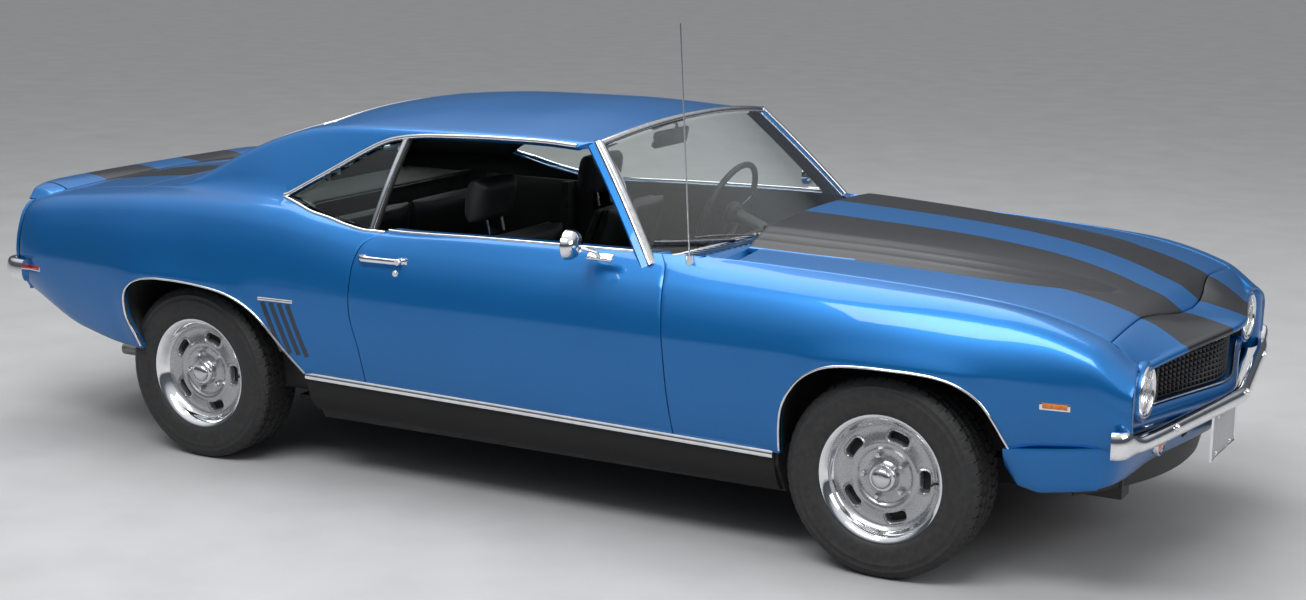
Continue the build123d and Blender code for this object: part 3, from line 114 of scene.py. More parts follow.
# Cut lines in the side view (x, z)
DOOR_FRONT_CUT = ((588, 962), (596, 950), (639, 905), (657, 809), (674, 693), (686, 497), (697, 366))
DOOR_REAR_CUT = ((-539, 384), (-548, 502), (-575, 656), (-571, 793), (-551, 872), (-483, 926))
FRONT_ARCH = ((1887, 372), (1862, 420), (1830, 488), (1781, 585), (1747, 628), (1701, 658), (1650, 677),
              (1588, 687), (1515, 690), (1441, 690), (1365, 688), (1291, 681), (1245, 669), (1209, 652),
              (1170, 625), (1139, 589), (1114, 548), (1099, 508), (1090, 452), (1086, 395), (1085, 362))
REAR_ARCH = ((-1560, 398), (-1573, 440), (-1594, 490), (-1606, 540), (-1603, 586), (-1590, 622), (-1564, 650),
             (-1530, 669), (-1480, 682), (-1408, 689), (-1340, 689), (-1270, 686), (-1200, 680), (-1130, 669),
             (-1062, 647), (-1005, 616), (-960, 578), (-920, 532), (-880, 482), (-840, 436), (-800, 392))
ARCHES = {"front": FRONT_ARCH, "rear": REAR_ARCH}
BELT_LINE = ((-948, 1006), (-883, 990), (-800, 966), (-715, 949), (-640, 934), (-553, 922), (-483, 920))
QUARTER_WINDOW_REAR = ((-948, 1006), (-844, 1066), (-730, 1132), (-640, 1183), (-590, 1208), (-540, 1226),
                       (-480, 1238))
WINDOW_TOP = ((-480, 1238), (-400, 1246), (-300, 1251), (-115, 1257), (60, 1258), (212, 1252))
BACKLIGHT_EDGE = ((-905, 516), (-930, 540), (-1000, 552), (-1150, 574), (-1300, 592), (-1440, 606),
                  (-1474, 596), (-1486, 570))

HOOD_FRONT = ((2080, 694), (2080, 600), (2081, 430), (2098, 300), (2118, 200), (2132, 100), (2138, 0))
HEADER_FRONT = ((2176, 694), (2184, 640), (2192, 600), (2211, 500), (2232, 400), (2265, 250), (2293, 120),
                (2307, 40), (2309, 0))
HOOD_REAR_X = 862
HOOD_CROWN = 30.0
DECK_CROWN = 20.0
# Scoop on the hood. Columns: x, ridge_y, rise over the hood, foot_y
SCOOP_SECTIONS = np.array((
    (820, 430, 44, 566), (984, 418, 42, 560), (1205, 397, 39, 542), (1430, 374, 34, 531),
    (1600, 345, 27, 520), (1742, 310, 19, 488), (1850, 280, 11, 430), (1960, 250, 3, 320),
    (1990, 240, 0, 262),
), float)


def smooth_value(xs, ys, x):
    """Monotone cubic through the rows (xs, ys), read at x."""
    xs, ys, x = np.asarray(xs, float), np.asarray(ys, float), np.asarray(x, float)
    h = np.diff(xs)
    d = np.diff(ys) / h
    m = np.empty_like(ys)
    m[0], m[-1] = d[0], d[-1]
    w1, w2 = 2 * h[1:] + h[:-1], h[1:] + 2 * h[:-1]
    same = d[:-1] * d[1:] > 0
    safe = np.where(same, d[:-1] * d[1:], 1)
    m[1:-1] = np.where(same, (w1 + w2) * safe / (w1 * d[1:] + w2 * d[:-1] + np.where(same, 0, 1)), 0)
    x = np.clip(x, xs[0], xs[-1])
    i = np.clip(np.searchsorted(xs, x) - 1, 0, len(h) - 1)
    t = (x - xs[i]) / h[i]
    return ((2 * t ** 3 - 3 * t ** 2 + 1) * ys[i] + (t ** 3 - 2 * t ** 2 + t) * h[i] * m[i]
            + (3 * t ** 2 - 2 * t ** 3) * ys[i + 1] + (t ** 3 - t ** 2) * h[i] * m[i + 1])


def spline(points, step=12.0, closed=False):
    """Even points along a smooth curve through the given ones, of any dimension."""
    p = np.asarray(points, float)
    if closed:
        p = np.vstack((p, p[:1]))
    t = np.concatenate(([0], np.cumsum(np.linalg.norm(np.diff(p, axis=0), axis=1))))
    fine = np.linspace(0, t[-1], max(2, int(t[-1] / step) + 1))
    q = p
    if closed:
        t = np.concatenate((t[-4:-1] - t[-1], t, t[1:4] + t[-1]))
        q = np.vstack((p[-4:-1], p, p[1:4]))
    out = np.stack([smooth_value(t, q[:, k], fine) for k in range(p.shape[1])], 1)
    return out[:-1] if closed else out


class Section:
    """The body's outer surface: a row index s runs up the half section, X runs along the car."""

    def __init__(self, table):
        self.x = np.concatenate((np.arange(-2216, 2160, 8.0), np.arange(2160, 2193, 2.0)))
        col = [smooth_value(table[:, 0], table[:, k], self.x) for k in range(1, table.shape[1])]
        sill, crease, shoulder, edge, rail = (np.stack(col[k:k + 2], 1) for k in (0, 2, 4, 6, 8))
        crown, cut = col[10], col[11]
        corners = [sill, crease, shoulder, edge, rail]
        bulge = (9.0, 13.0, 3.0, 5.0)
        cuts = (np.full_like(cut, 9.0), np.full_like(cut, 46.0), cut, np.full_like(cut, 26.0))
        counts, turns = (11, 11, 5, 10), (4, 8, 6, 6)
        rows, self.mark = [], {"sill": 0}
        start = np.zeros(len(self.x))
        names = ("crease", "shoulder", "edge", "rail")

        def run(k, t):
            a, b = corners[k], corners[k + 1]
            d = b - a
            length = np.hypot(d[:, 0], d[:, 1])
            n = np.stack((d[:, 1], -d[:, 0]), 1) / length[:, None]
            t = t[:, None]
            return a + d * t + n * bulge[k] * 4 * t * (1 - t)

        def roof(t):
            y = rail[:, 0] * (1 - t)
            z = crown - (crown - rail[:, 1]) * (1 - t) ** 2
            return np.stack((y, z), 1)

        for k in range(4):
            length = np.hypot(*(corners[k + 1] - corners[k]).T)
            end = 1 - np.minimum(cuts[k] / length, 0.45)
            for j in range(counts[k]):
                rows.append(run(k, start + (end - start) * j / (counts[k] - 1)))
            after = (lambda t: run(k + 1, t)) if k < 3 else roof
            next_length = np.hypot(*(corners[k + 2] - corners[k + 1]).T) if k < 3 else rail[:, 0]
            start = np.minimum(cuts[k] / next_length, 0.45)
            first, last, middle = rows[-1], after(start), corners[k + 1]
            self.mark[names[k] + "_in"] = len(rows) - 1
            for j in range(1, turns[k]):
                t = j / turns[k]
                rows.append(first * (1 - t) ** 2 + middle * 2 * t * (1 - t) + last * t ** 2)
            self.mark[names[k]] = len(rows) - 1 - turns[k] // 2 + 1
            self.mark[names[k] + "_out"] = len(rows)
        for j in range(19):
            rows.append(roof(start + (1 - start) * j / 18))
        self.grid = np.stack(rows, 1)
        self.count = self.grid.shape[1]
        steps = np.linalg.norm(np.diff(self.grid, axis=1), axis=2).mean(0)
        self.v = np.concatenate(([0], np.cumsum(steps)))
        self.mark["crown"] = self.count - 1

    def at(self, x, v):
        """Points (x, y, z) of the left side at X and unrolled height v."""
        x, v = np.asarray(x, float), np.asarray(v, float)
        i = np.clip(np.searchsorted(self.x, x) - 1, 0, len(self.x) - 2)
        fx = np.clip((x - self.x[i]) / (self.x[i + 1] - self.x[i]), -0.5, 1.5)[:, None]
        k = np.clip(np.searchsorted(self.v, v) - 1, 0, self.count - 2)
        fv = np.clip((v - self.v[k]) / (self.v[k + 1] - self.v[k]), -2, 2)[:, None]
        g = self.grid
        low = g[i, k] * (1 - fx) + g[i + 1, k] * fx
        high = g[i, k + 1] * (1 - fx) + g[i + 1, k + 1] * fx
        yz = low * (1 - fv) + high * fv
        return np.column_stack((x, yz))

    def column(self, x, low, high, axis):
        """Y (axis 0) or Z (axis 1) of the section at X between two marks, and the heights v there."""
        a, b = self.mark[low], self.mark[high] + 1
        i = min(max(int(np.searchsorted(self.x, x)) - 1, 0), len(self.x) - 2)
        f = min(max((x - self.x[i]) / (self.x[i + 1] - self.x[i]), 0), 1)
        return self.grid[i, a:b, axis] * (1 - f) + self.grid[i + 1, a:b, axis] * f, self.v[a:b]

    def height(self, x, z, low="sill", high="edge"):
        """Unrolled height v where the surface at X has that Z."""
        return np.array([np.interp(pz, *self.column(px, low, high, 1))
                         for px, pz in zip(np.atleast_1d(x), np.atleast_1d(z))])

    def width(self, x, y, low="rail", high="crown"):
        """Unrolled height v where the roof at X has that half width."""
        out = []
        for px, py in zip(np.atleast_1d(x), np.atleast_1d(y)):
            wide, v = self.column(px, low, high, 0)
            out.append(np.interp(py, wide[::-1], v[::-1]))
        return np.array(out)


SKIN = Section(BODY_SECTIONS)


def unrolled(line, low="sill", high="edge"):
    """Points (x, z) of the side view as points (x, v) on the unrolled surface."""
    return np.column_stack((line[:, 0], SKIN.height(line[:, 0], line[:, 1], low, high)))


def side_line(points, step=12.0, low="sill", high="edge"):
    """Smooth line through points of the side view, on the unrolled surface."""
    return unrolled(spline(points, step), low, high)


def skin_v(mark):
    """Unrolled height v of a mark."""
    return SKIN.v[SKIN.mark[mark]]


def mark_line(mark, x_from, x_to, step=12.0):
    """Line along one row of the unrolled surface."""
    x = np.linspace(x_from, x_to, max(2, int(abs(x_to - x_from) / step) + 1))
    return np.column_stack((x, np.full_like(x, skin_v(mark))))


def joined(*lines):
    """One closed outline from lines that follow each other, with no point twice."""
    points = np.vstack(lines)
    keep = [0]
    for i in range(1, len(points)):
        if np.linalg.norm(points[i] - points[keep[-1]]) > 1.5:
            keep.append(i)
    if np.linalg.norm(points[keep[-1]] - points[0]) < 1.5:
        keep.pop()
    return points[keep]


def inside(points, outline, margin):
    """Which points lie inside the outline and away from its edge."""
    a, b = outline, np.roll(outline, -1, 0)
    hit = np.zeros(len(points), bool)
    near = np.full(len(points), 1e9)
    px, py = points[:, 0], points[:, 1]
    for (ax, ay), (bx, by) in zip(a, b):
        cross = (ay > py) != (by > py)
        with np.errstate(divide="ignore", invalid="ignore"):
            cross &= px < (bx - ax) * (py - ay) / (by - ay if by != ay else 1e-12) + ax
        hit ^= cross
        length = (bx - ax) ** 2 + (by - ay) ** 2
        t = np.clip(((px - ax) * (bx - ax) + (py - ay) * (by - ay)) / max(length, 1e-9), 0, 1)
        near = np.minimum(near, np.hypot(px - ax - t * (bx - ax), py - ay - t * (by - ay)))
    return hit & (near > margin)


def new_piece(name, verts, faces, body, finish, replaces=(), slot=None, crease=35):
    """Mesh object from points in millimetres, riding on a body, with one or more finishes by name."""
    mesh = bpy.data.meshes.new(name)
    mesh.from_pydata((np.asarray(verts) * MM).tolist(), [], [list(map(int, f)) for f in faces])
    for key in [finish] if isinstance(finish, str) else finish:
        mesh.materials.append(FINISHES[key])
    mesh.polygons.foreach_set("use_smooth", [True] * len(mesh.polygons))
    mesh.set_sharp_from_angle(angle=radians(crease))
    piece = bpy.data.objects.new(name, mesh)
    bpy.context.scene.collection.objects.link(piece)
    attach(piece, body)
    if replaces:
        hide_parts(*replaces)
    return piece


def mirrored(verts, faces):
    """The same mesh on the other side of the car."""
    flipped = np.asarray(verts, float) * (1, -1, 1)
    return flipped, [list(f)[::-1] for f in faces]


def pair(name, verts, faces, bodies, finish, replaces=None, slot=None, crease=35):
    """A right piece and its mirror image on the left. The given mesh is the left one."""
    made = {}
    for side in ("right", "left"):
        v, f = (verts, faces) if side == "left" else mirrored(verts, faces)
        body = bodies.format(side=side)
        stands = tuple(r.format(side=side) for r in replaces or ())
        made[side] = new_piece(f"{name}_{side}", v, f, body, finish, stands, slot, crease)
    return made


def merged(*meshes):
    """Several (verts, faces) as one."""
    verts, faces, base = [], [], 0
    for v, f in meshes:
        verts.append(np.asarray(v, float))
        faces += [[i + base for i in face] for face in f]
        base += len(v)
    return np.vstack(verts), faces


def boundary_loops(faces):
    """Loops of vertices along the open edges, each with its face on the left."""
    edges = {}
    for f in faces:
        for edge in zip(f, list(f[1:]) + [f[0]]):
            edges[edge] = True
    onward = {}
    for a, b in edges:
        if (b, a) not in edges:
            onward.setdefault(a, []).append(b)
    loops = []
    for start in list(onward):
        at, loop = start, []
        while onward.get(at):
            loop.append(at)
            at = onward[at].pop()
        if len(loop) > 2:
            loops.append(loop)
    return loops


def normals_of(verts, faces):
    """Smooth vertex normals."""
    n = np.zeros_like(verts)
    for f in faces:
        a, b, c = verts[f[0]], verts[f[1]], verts[f[2]]
        w = np.cross(b - a, c - a)
        for i in f:
            n[i] += w
    return n / np.maximum(np.linalg.norm(n, axis=1), 1e-12)[:, None]


def rolled(verts, faces, depth, roll=EDGE_ROLL, inward=None):
    """Adds a small rounded edge and a return flange along the open edges."""
    verts = np.asarray(verts, float)
    faces = [list(map(int, f)) for f in faces]
    n = normals_of(verts, faces)
    out_verts, out_faces = [verts], list(faces)
    base = len(verts)
    for loop in boundary_loops(faces):
        p, m = verts[loop], n[loop]
        t = np.roll(p, -1, 0) - np.roll(p, 1, 0)
        away = np.cross(t, m)
        away /= np.maximum(np.linalg.norm(away, axis=1), 1e-9)[:, None]
        back = -m if inward is None else np.tile(np.array(inward, float), (len(loop), 1))
        rings = [p + away * roll * 0.7 + back * roll * 0.3, p + away * roll + back * roll,
                 p + away * roll * 0.5 + back * depth]
        count = len(loop)
        previous = np.array(loop)
        for ring in rings:
            ids = np.arange(base, base + count)
            out_verts.append(ring)
            for i in range(count):
                j = (i + 1) % count
                out_faces.append([previous[j], previous[i], ids[i], ids[j]])
            base += count
            previous = ids
    return np.vstack(out_verts), out_faces


def skin_patch(outline, place, u_rows, v_rows, margin=4.0):
    """Triangulated patch of a surface inside an outline, with points on the given rows."""
    u, v = np.meshgrid(u_rows, v_rows, indexing="ij")
    grid = np.column_stack((u.ravel(), v.ravel()))
    low, high = outline.min(0), outline.max(0)
    grid = grid[((grid > low) & (grid < high)).all(1)]
    grid = grid[inside(grid, outline, margin)]
    flat = np.vstack((outline, grid))
    result = delaunay_2d_cdt([Vector(p) for p in flat], [], [list(range(len(outline)))], 1, 0.01)
    points = np.array([tuple(p) for p in result[0]], float)
    verts = place(points[:, 0], points[:, 1])
    corners = np.array([list(f) for f in result[2]])
    sides = np.linalg.norm(points[corners] - points[np.roll(corners, -1, 1)], axis=2)
    return verts, corners[sides.max(1) < SLIVER].tolist()


def facing(verts, faces, outward):
    """Turns all faces if they look the other way on average."""
    total = np.zeros(3)
    for f in faces:
        a, b, c = verts[f[0]], verts[f[1]], verts[f[2]]
        total += np.cross(b - a, c - a)
    return faces if total @ np.array(outward, float) > 0 else [f[::-1] for f in faces]


def side_panel(outline, step=14.0, outward=(0, 1, 0.3), bulge=None):
    """Patch of the body's side inside an outline on the unrolled surface (left side)."""
    x = np.arange(outline[:, 0].min(), outline[:, 0].max() + step, step)
    if outline[:, 0].max() > 2150:
        x = np.concatenate((x[x < 2140], np.arange(2140, 2193, 6.0)))

    def place(u, v):
        p = SKIN.at(u, v)
        return bulge(p) if bulge else p

    verts, faces = skin_patch(outline, place, x, SKIN.v)
    return verts, facing(verts, faces, outward)


def arch_flare(points):
    """Pushes the skin out a little round the wheel arches."""
    out = points.copy()
    for arch, amount in ((FRONT_ARCH, 7.0), (REAR_ARCH, 9.0)):
        line = spline(arch, 20)
        d = np.full(len(points), 1e9)
        for a, b in zip(line[:-1], line[1:]):
            ab = b - a
            t = np.clip(((points[:, [0, 2]] - a) @ ab) / (ab @ ab), 0, 1)
            d = np.minimum(d, np.linalg.norm(points[:, [0, 2]] - a - t[:, None] * ab, axis=1))
        out[:, 1] += amount * np.exp(-(d / 46.0) ** 2) * np.sign(points[:, 1])
    return out


def sweep(path, up, profile, closed=False, caps=True):
    """Profile (across, out) carried along a path, out being along the given directions."""
    path, up = np.asarray(path, float), np.asarray(up, float)
    if up.ndim == 1:
        up = np.tile(up, (len(path), 1))
    if closed:
        t = np.roll(path, -1, 0) - np.roll(path, 1, 0)
    else:
        t = np.gradient(path, axis=0)
    t /= np.maximum(np.linalg.norm(t, axis=1), 1e-9)[:, None]
    up = up - (up * t).sum(1)[:, None] * t
    up /= np.maximum(np.linalg.norm(up, axis=1), 1e-9)[:, None]
    side = np.cross(t, up)
    profile = np.asarray(profile, float)
    k = len(profile)
    across, out = side[:, None] * profile[None, :, :1], up[:, None] * profile[None, :, 1:]
    verts = (path[:, None] + across + out).reshape(-1, 3)
    faces = []
    n = len(path)
    for i in range(n if closed else n - 1):
        a, b = i * k, ((i + 1) % n) * k
        for j in range(k):
            m = (j + 1) % k
            faces.append([a + j, b + j, b + m, a + m])
    if caps and not closed:
        faces.append(list(range(k)))
        faces.append(list(range((n - 1) * k, n * k))[::-1])
    return verts, faces


def oval(width, height, count=10, lift=0.0):
    """Closed oval profile (across, out)."""
    a = np.arange(count) * 2 * pi / count
    return np.column_stack((np.cos(a) * width / 2, np.sin(a) * height / 2 + lift))


def half_round(width, height, count=7, foot=2.0):
    """Moulding profile: a low crown on a short foot."""
    a = np.linspace(0, pi, count)
    top = np.column_stack((np.cos(a) * width / 2, np.sin(a) * height))
    return np.vstack(([width / 2, -foot], top, [-width / 2, -foot]))


def lathe(profile, count=64, arc=2 * pi, start=0.0, axis="y"):
    """Profile (radius, along) turned about an axis."""
    profile = np.asarray(profile, float)
    full = abs(arc - 2 * pi) < 1e-6
    a = start + np.arange(count + (0 if full else 1)) * arc / count
    r, h = profile[:, 0], profile[:, 1]
    ring = np.stack((np.cos(a)[:, None] * r, np.tile(h, (len(a), 1)), np.sin(a)[:, None] * r), 2)
    order = {"y": (0, 1, 2), "x": (1, 0, 2), "z": (0, 2, 1)}[axis]
    verts = ring[..., order].reshape(-1, 3)
    k, n, faces = len(profile), len(a), []
    for i in range(n if full else n - 1):
        p, q = i * k, ((i + 1) % n) * k
        for j in range(k - 1):
            quad = [p + j, p + j + 1, q + j + 1, q + j]
            faces.append(quad if axis == "y" else quad[::-1])
    return verts, faces


def soft_box(size, radius=4.0, steps=2):
    """Box with rounded edges, centred on the origin."""
    bm = bmesh.new()
    bmesh.ops.create_cube(bm, size=1)
    bmesh.ops.scale(bm, vec=Vector(size), verts=bm.verts)
    bmesh.ops.bevel(bm, geom=bm.edges[:], offset=radius, segments=steps, affect="EDGES", profile=0.5)
    verts = np.array([tuple(v.co) for v in bm.verts])
    faces = [[v.index for v in f.verts] for f in bm.faces]
    bm.free()
    return verts, faces


def moved(mesh, by=(0, 0, 0), turn=None):
    """Mesh turned by a matrix and moved."""
    verts, faces = mesh
    verts = np.asarray(verts, float)
    if turn is not None:
        verts = verts @ np.array(turn.to_3x3(), float).T
    return verts + np.array(by, float), faces


def nodes_of(finish):
    """Node tree of a finish with its shader."""
    finish.use_nodes = True
    tree = finish.node_tree
    return tree, tree.nodes["Principled BSDF"]


def link(tree, node, socket, target, target_socket):
    """Link between two named sockets."""
    tree.links.new(node.outputs[socket], target.inputs[target_socket])


def grain(tree, scale, detail=3.0, kind="NOISE"):
    """Noise or cells in the object's own metres."""
    where = tree.nodes.new("ShaderNodeTexCoord")
    if kind == "NOISE":
        tex = tree.nodes.new("ShaderNodeTexNoise")
        tex.inputs["Detail"].default_value = detail
    else:
        tex = tree.nodes.new("ShaderNodeTexVoronoi")
    tex.inputs["Scale"].default_value = scale
    link(tree, where, "Object", tex, "Vector")
    return tex


def ramp(tree, source, socket, stops):
    """Colour ramp over a value."""
    node = tree.nodes.new("ShaderNodeValToRGB")
    link(tree, source, socket, node, "Fac")
    while len(node.color_ramp.elements) < len(stops):
        node.color_ramp.elements.new(0.5)
    for element, (place, colour) in zip(node.color_ramp.elements, stops):
        element.position = place
        element.color = tuple(colour) + (1,)
    return node


def bump(tree, source, socket, shader, strength, distance):
    """Height from a value into a shader's normal."""
    node = tree.nodes.new("ShaderNodeBump")
    node.inputs["Strength"].default_value = strength
    node.inputs["Distance"].default_value = distance
    link(tree, source, socket, node, "Height")
    link(tree, node, "Normal", shader, "Normal")


def finish(name, low, high, scale, rough, metallic=0.0, relief=None, coat=0.0, coat_rough=0.03, kind="NOISE",
           detail=3.0, rough_span=0.06, ior=1.5):
    """A finish whose colour and roughness vary between two near values."""
    made = bpy.data.materials.new(name)
    tree, shader = nodes_of(made)
    tex = grain(tree, scale, detail, kind)
    socket = "Fac" if kind == "NOISE" else "Distance"
    colour = ramp(tree, tex, socket, ((0.3, low), (0.72, high)))
    link(tree, colour, "Color", shader, "Base Color")
    span = tree.nodes.new("ShaderNodeMapRange")
    span.inputs["To Min"].default_value = max(rough - rough_span, 0.02)
    span.inputs["To Max"].default_value = rough + rough_span
    link(tree, tex, socket, span, "Value")
    link(tree, span, "Result", shader, "Roughness")
    shader.inputs["Metallic"].default_value = metallic
    shader.inputs["IOR"].default_value = ior
    shader.inputs["Coat Weight"].default_value = coat
    shader.inputs["Coat Roughness"].default_value = coat_rough
    if relief:
        relief_scale, strength, distance = relief
        bump(tree, grain(tree, relief_scale, 2.0), "Fac", shader, strength, distance)
    made.diffuse_color = tuple(high) + (1,)
    return made


def math_node(tree, operation, first, second=None):
    """Math node from values or sockets."""
    node = tree.nodes.new("ShaderNodeMath")
    node.operation = operation
    for k, value in enumerate((first, second)):
        if value is None:
            continue
        if isinstance(value, (int, float)):
            node.inputs[k].default_value = value
        else:
            tree.links.new(value, node.inputs[k])
    return node.outputs[0]


def stripe_mask(tree, inner_rear, inner_slope, outer_rear, outer_slope, rear_x, z_floor):
    """1 on the two stripes: |Y| between two lines that narrow towards the front."""
    where = tree.nodes.new("ShaderNodeTexCoord")
    split = tree.nodes.new("ShaderNodeSeparateXYZ")
    link(tree, where, "Object", split, "Vector")
    x, y, z = split.outputs[0], split.outputs[1], split.outputs[2]
    ahead = math_node(tree, "MAXIMUM", math_node(tree, "SUBTRACT", x, rear_x), 0.0)
    side = math_node(tree, "ABSOLUTE", y)
    inner = math_node(tree, "SUBTRACT", inner_rear, math_node(tree, "MULTIPLY", ahead, inner_slope))
    outer = math_node(tree, "SUBTRACT", outer_rear, math_node(tree, "MULTIPLY", ahead, outer_slope))
    past_inner = math_node(tree, "GREATER_THAN", side, inner)
    before_outer = math_node(tree, "LESS_THAN", side, outer)
    high = math_node(tree, "GREATER_THAN", z, z_floor)
    return math_node(tree, "MULTIPLY", math_node(tree, "MULTIPLY", past_inner, before_outer), high)


def paint_finish(name, settings, stripes=None):
    """Metallic blue under clear coat, with flake, and with black stripes where told."""
    made = bpy.data.materials.new(name)
    tree, shader = nodes_of(made)
    flake = grain(tree, 2600, 0, "CELLS")
    flake.feature = "F1"
    shade = ramp(tree, flake, "Color", ((0.0, tuple(c * 0.78 for c in settings.blue)),
                                        (1.0, tuple(min(c * 1.22, 1) for c in settings.blue))))
    mottle = grain(tree, 2.2, 2.0)
    soft = ramp(tree, mottle, "Fac", ((0.25, (0.93, 0.93, 0.93)), (0.75, (1.0, 1.0, 1.0))))
    tint = tree.nodes.new("ShaderNodeMix")
    tint.data_type, tint.blend_type = "RGBA", "MULTIPLY"
    tint.inputs[0].default_value = 1.0
    tree.links.new(shade.outputs["Color"], tint.inputs[6])
    tree.links.new(soft.outputs["Color"], tint.inputs[7])
    colour = tint.outputs[2]
    shader.inputs["Metallic"].default_value = settings.metal
    shader.inputs["Roughness"].default_value = 0.36
    if stripes:
        mask = stripe_mask(tree, *stripes)
        mix = tree.nodes.new("ShaderNodeMix")
        mix.data_type = "RGBA"
        tree.links.new(mask, mix.inputs[0])
        tree.links.new(colour, mix.inputs[6])
        mix.inputs[7].default_value = tuple(settings.stripe) + (1,)
        colour = mix.outputs[2]
        metal = tree.nodes.new("ShaderNodeMapRange")
        metal.inputs["To Min"].default_value = settings.metal
        metal.inputs["To Max"].default_value = 0.0
        tree.links.new(mask, metal.inputs["Value"])
        tree.links.new(metal.outputs["Result"], shader.inputs["Metallic"])
    tree.links.new(colour, shader.inputs["Base Color"])
    shader.inputs["Coat Weight"].default_value = 0.6
    shader.inputs["Coat Roughness"].default_value = 0.02
    bump(tree, grain(tree, 1800, 1.0), "Fac", shader, 0.06, 0.00004)
    made.diffuse_color = tuple(settings.blue) + (1,)
    return made


def glass_finish(name, tint, rough=0.0):
    """Thin clear glass with a slight tint and faint dust."""
    made = bpy.data.materials.new(name)
    tree, shader = nodes_of(made)
    tex = grain(tree, 14, 4.0)
    colour = ramp(tree, tex, "Fac", ((0.3, tint), (0.8, tuple(min(1, c * 1.04) for c in tint))))
    link(tree, colour, "Color", shader, "Base Color")
    shader.inputs["Transmission Weight"].default_value = 1.0
    shader.inputs["IOR"].default_value = 1.45
    span = tree.nodes.new("ShaderNodeMapRange")
    span.inputs["To Min"].default_value = rough
    span.inputs["To Max"].default_value = rough + 0.02
    link(tree, tex, "Fac", span, "Value")
    link(tree, span, "Result", shader, "Roughness")
    made.diffuse_color = tuple(tint) + (0.4,)
    return made


class PaintSettings(bpy.types.PropertyGroup):
    """Colours of the body."""

    blue: FloatVectorProperty(name="Body blue", description="Colour of the metallic body paint",
                              subtype="COLOR",
                              size=3, min=0, max=1, default=(0.002, 0.140, 0.420))
    stripe: FloatVectorProperty(name="Stripe black", description="Colour of the two stripes", subtype="COLOR",
                                size=3, min=0, max=1, default=(0.004, 0.004, 0.005))
    metal: FloatProperty(name="Metallic share", description="How metallic the paint looks", default=0.62,
                         min=0, max=1, subtype="FACTOR")
    stripe_inner: FloatProperty(name="Stripe inner edge",
                                description="Half width of the blue between the stripes",
                                default=0.137, unit="LENGTH")
    stripe_outer: FloatProperty(name="Stripe outer edge",
                                description="Half width over both stripes at the cowl",
                                default=0.560, unit="LENGTH")


class WheelSettings(bpy.types.PropertyGroup):
    """Sizes of the wheels."""

    slots: IntProperty(name="Slots", description="Slots in each wheel's disc", default=5, min=3, max=12)
    tread_blocks: IntProperty(name="Tread blocks", description="Blocks round each tyre", default=56, min=24,
                              max=120)
    cap_radius: FloatProperty(name="Centre cap radius", description="Radius of the bright centre cap",
                              default=0.046, unit="LENGTH")


class TrimSettings(bpy.types.PropertyGroup):
    """Sizes of the bright trim."""

    sill_height: FloatProperty(name="Sill moulding",
                               description="Height of the bright moulding along the sill",
                               default=0.026, unit="LENGTH")
    arch_width: FloatProperty(name="Arch moulding", description="Width of the bright lip of each wheel arch",
                              default=0.009, unit="LENGTH")


class CabinSettings(bpy.types.PropertyGroup):
    """Look of the cabin."""

    vinyl: FloatVectorProperty(name="Seat vinyl", description="Colour of the seats", subtype="COLOR", size=3,
                               min=0, max=1, default=(0.016, 0.016, 0.017))
    pleats: IntProperty(name="Pleats", description="Sewn channels across each seat", default=9, min=4, max=16)


FINISHES = {}


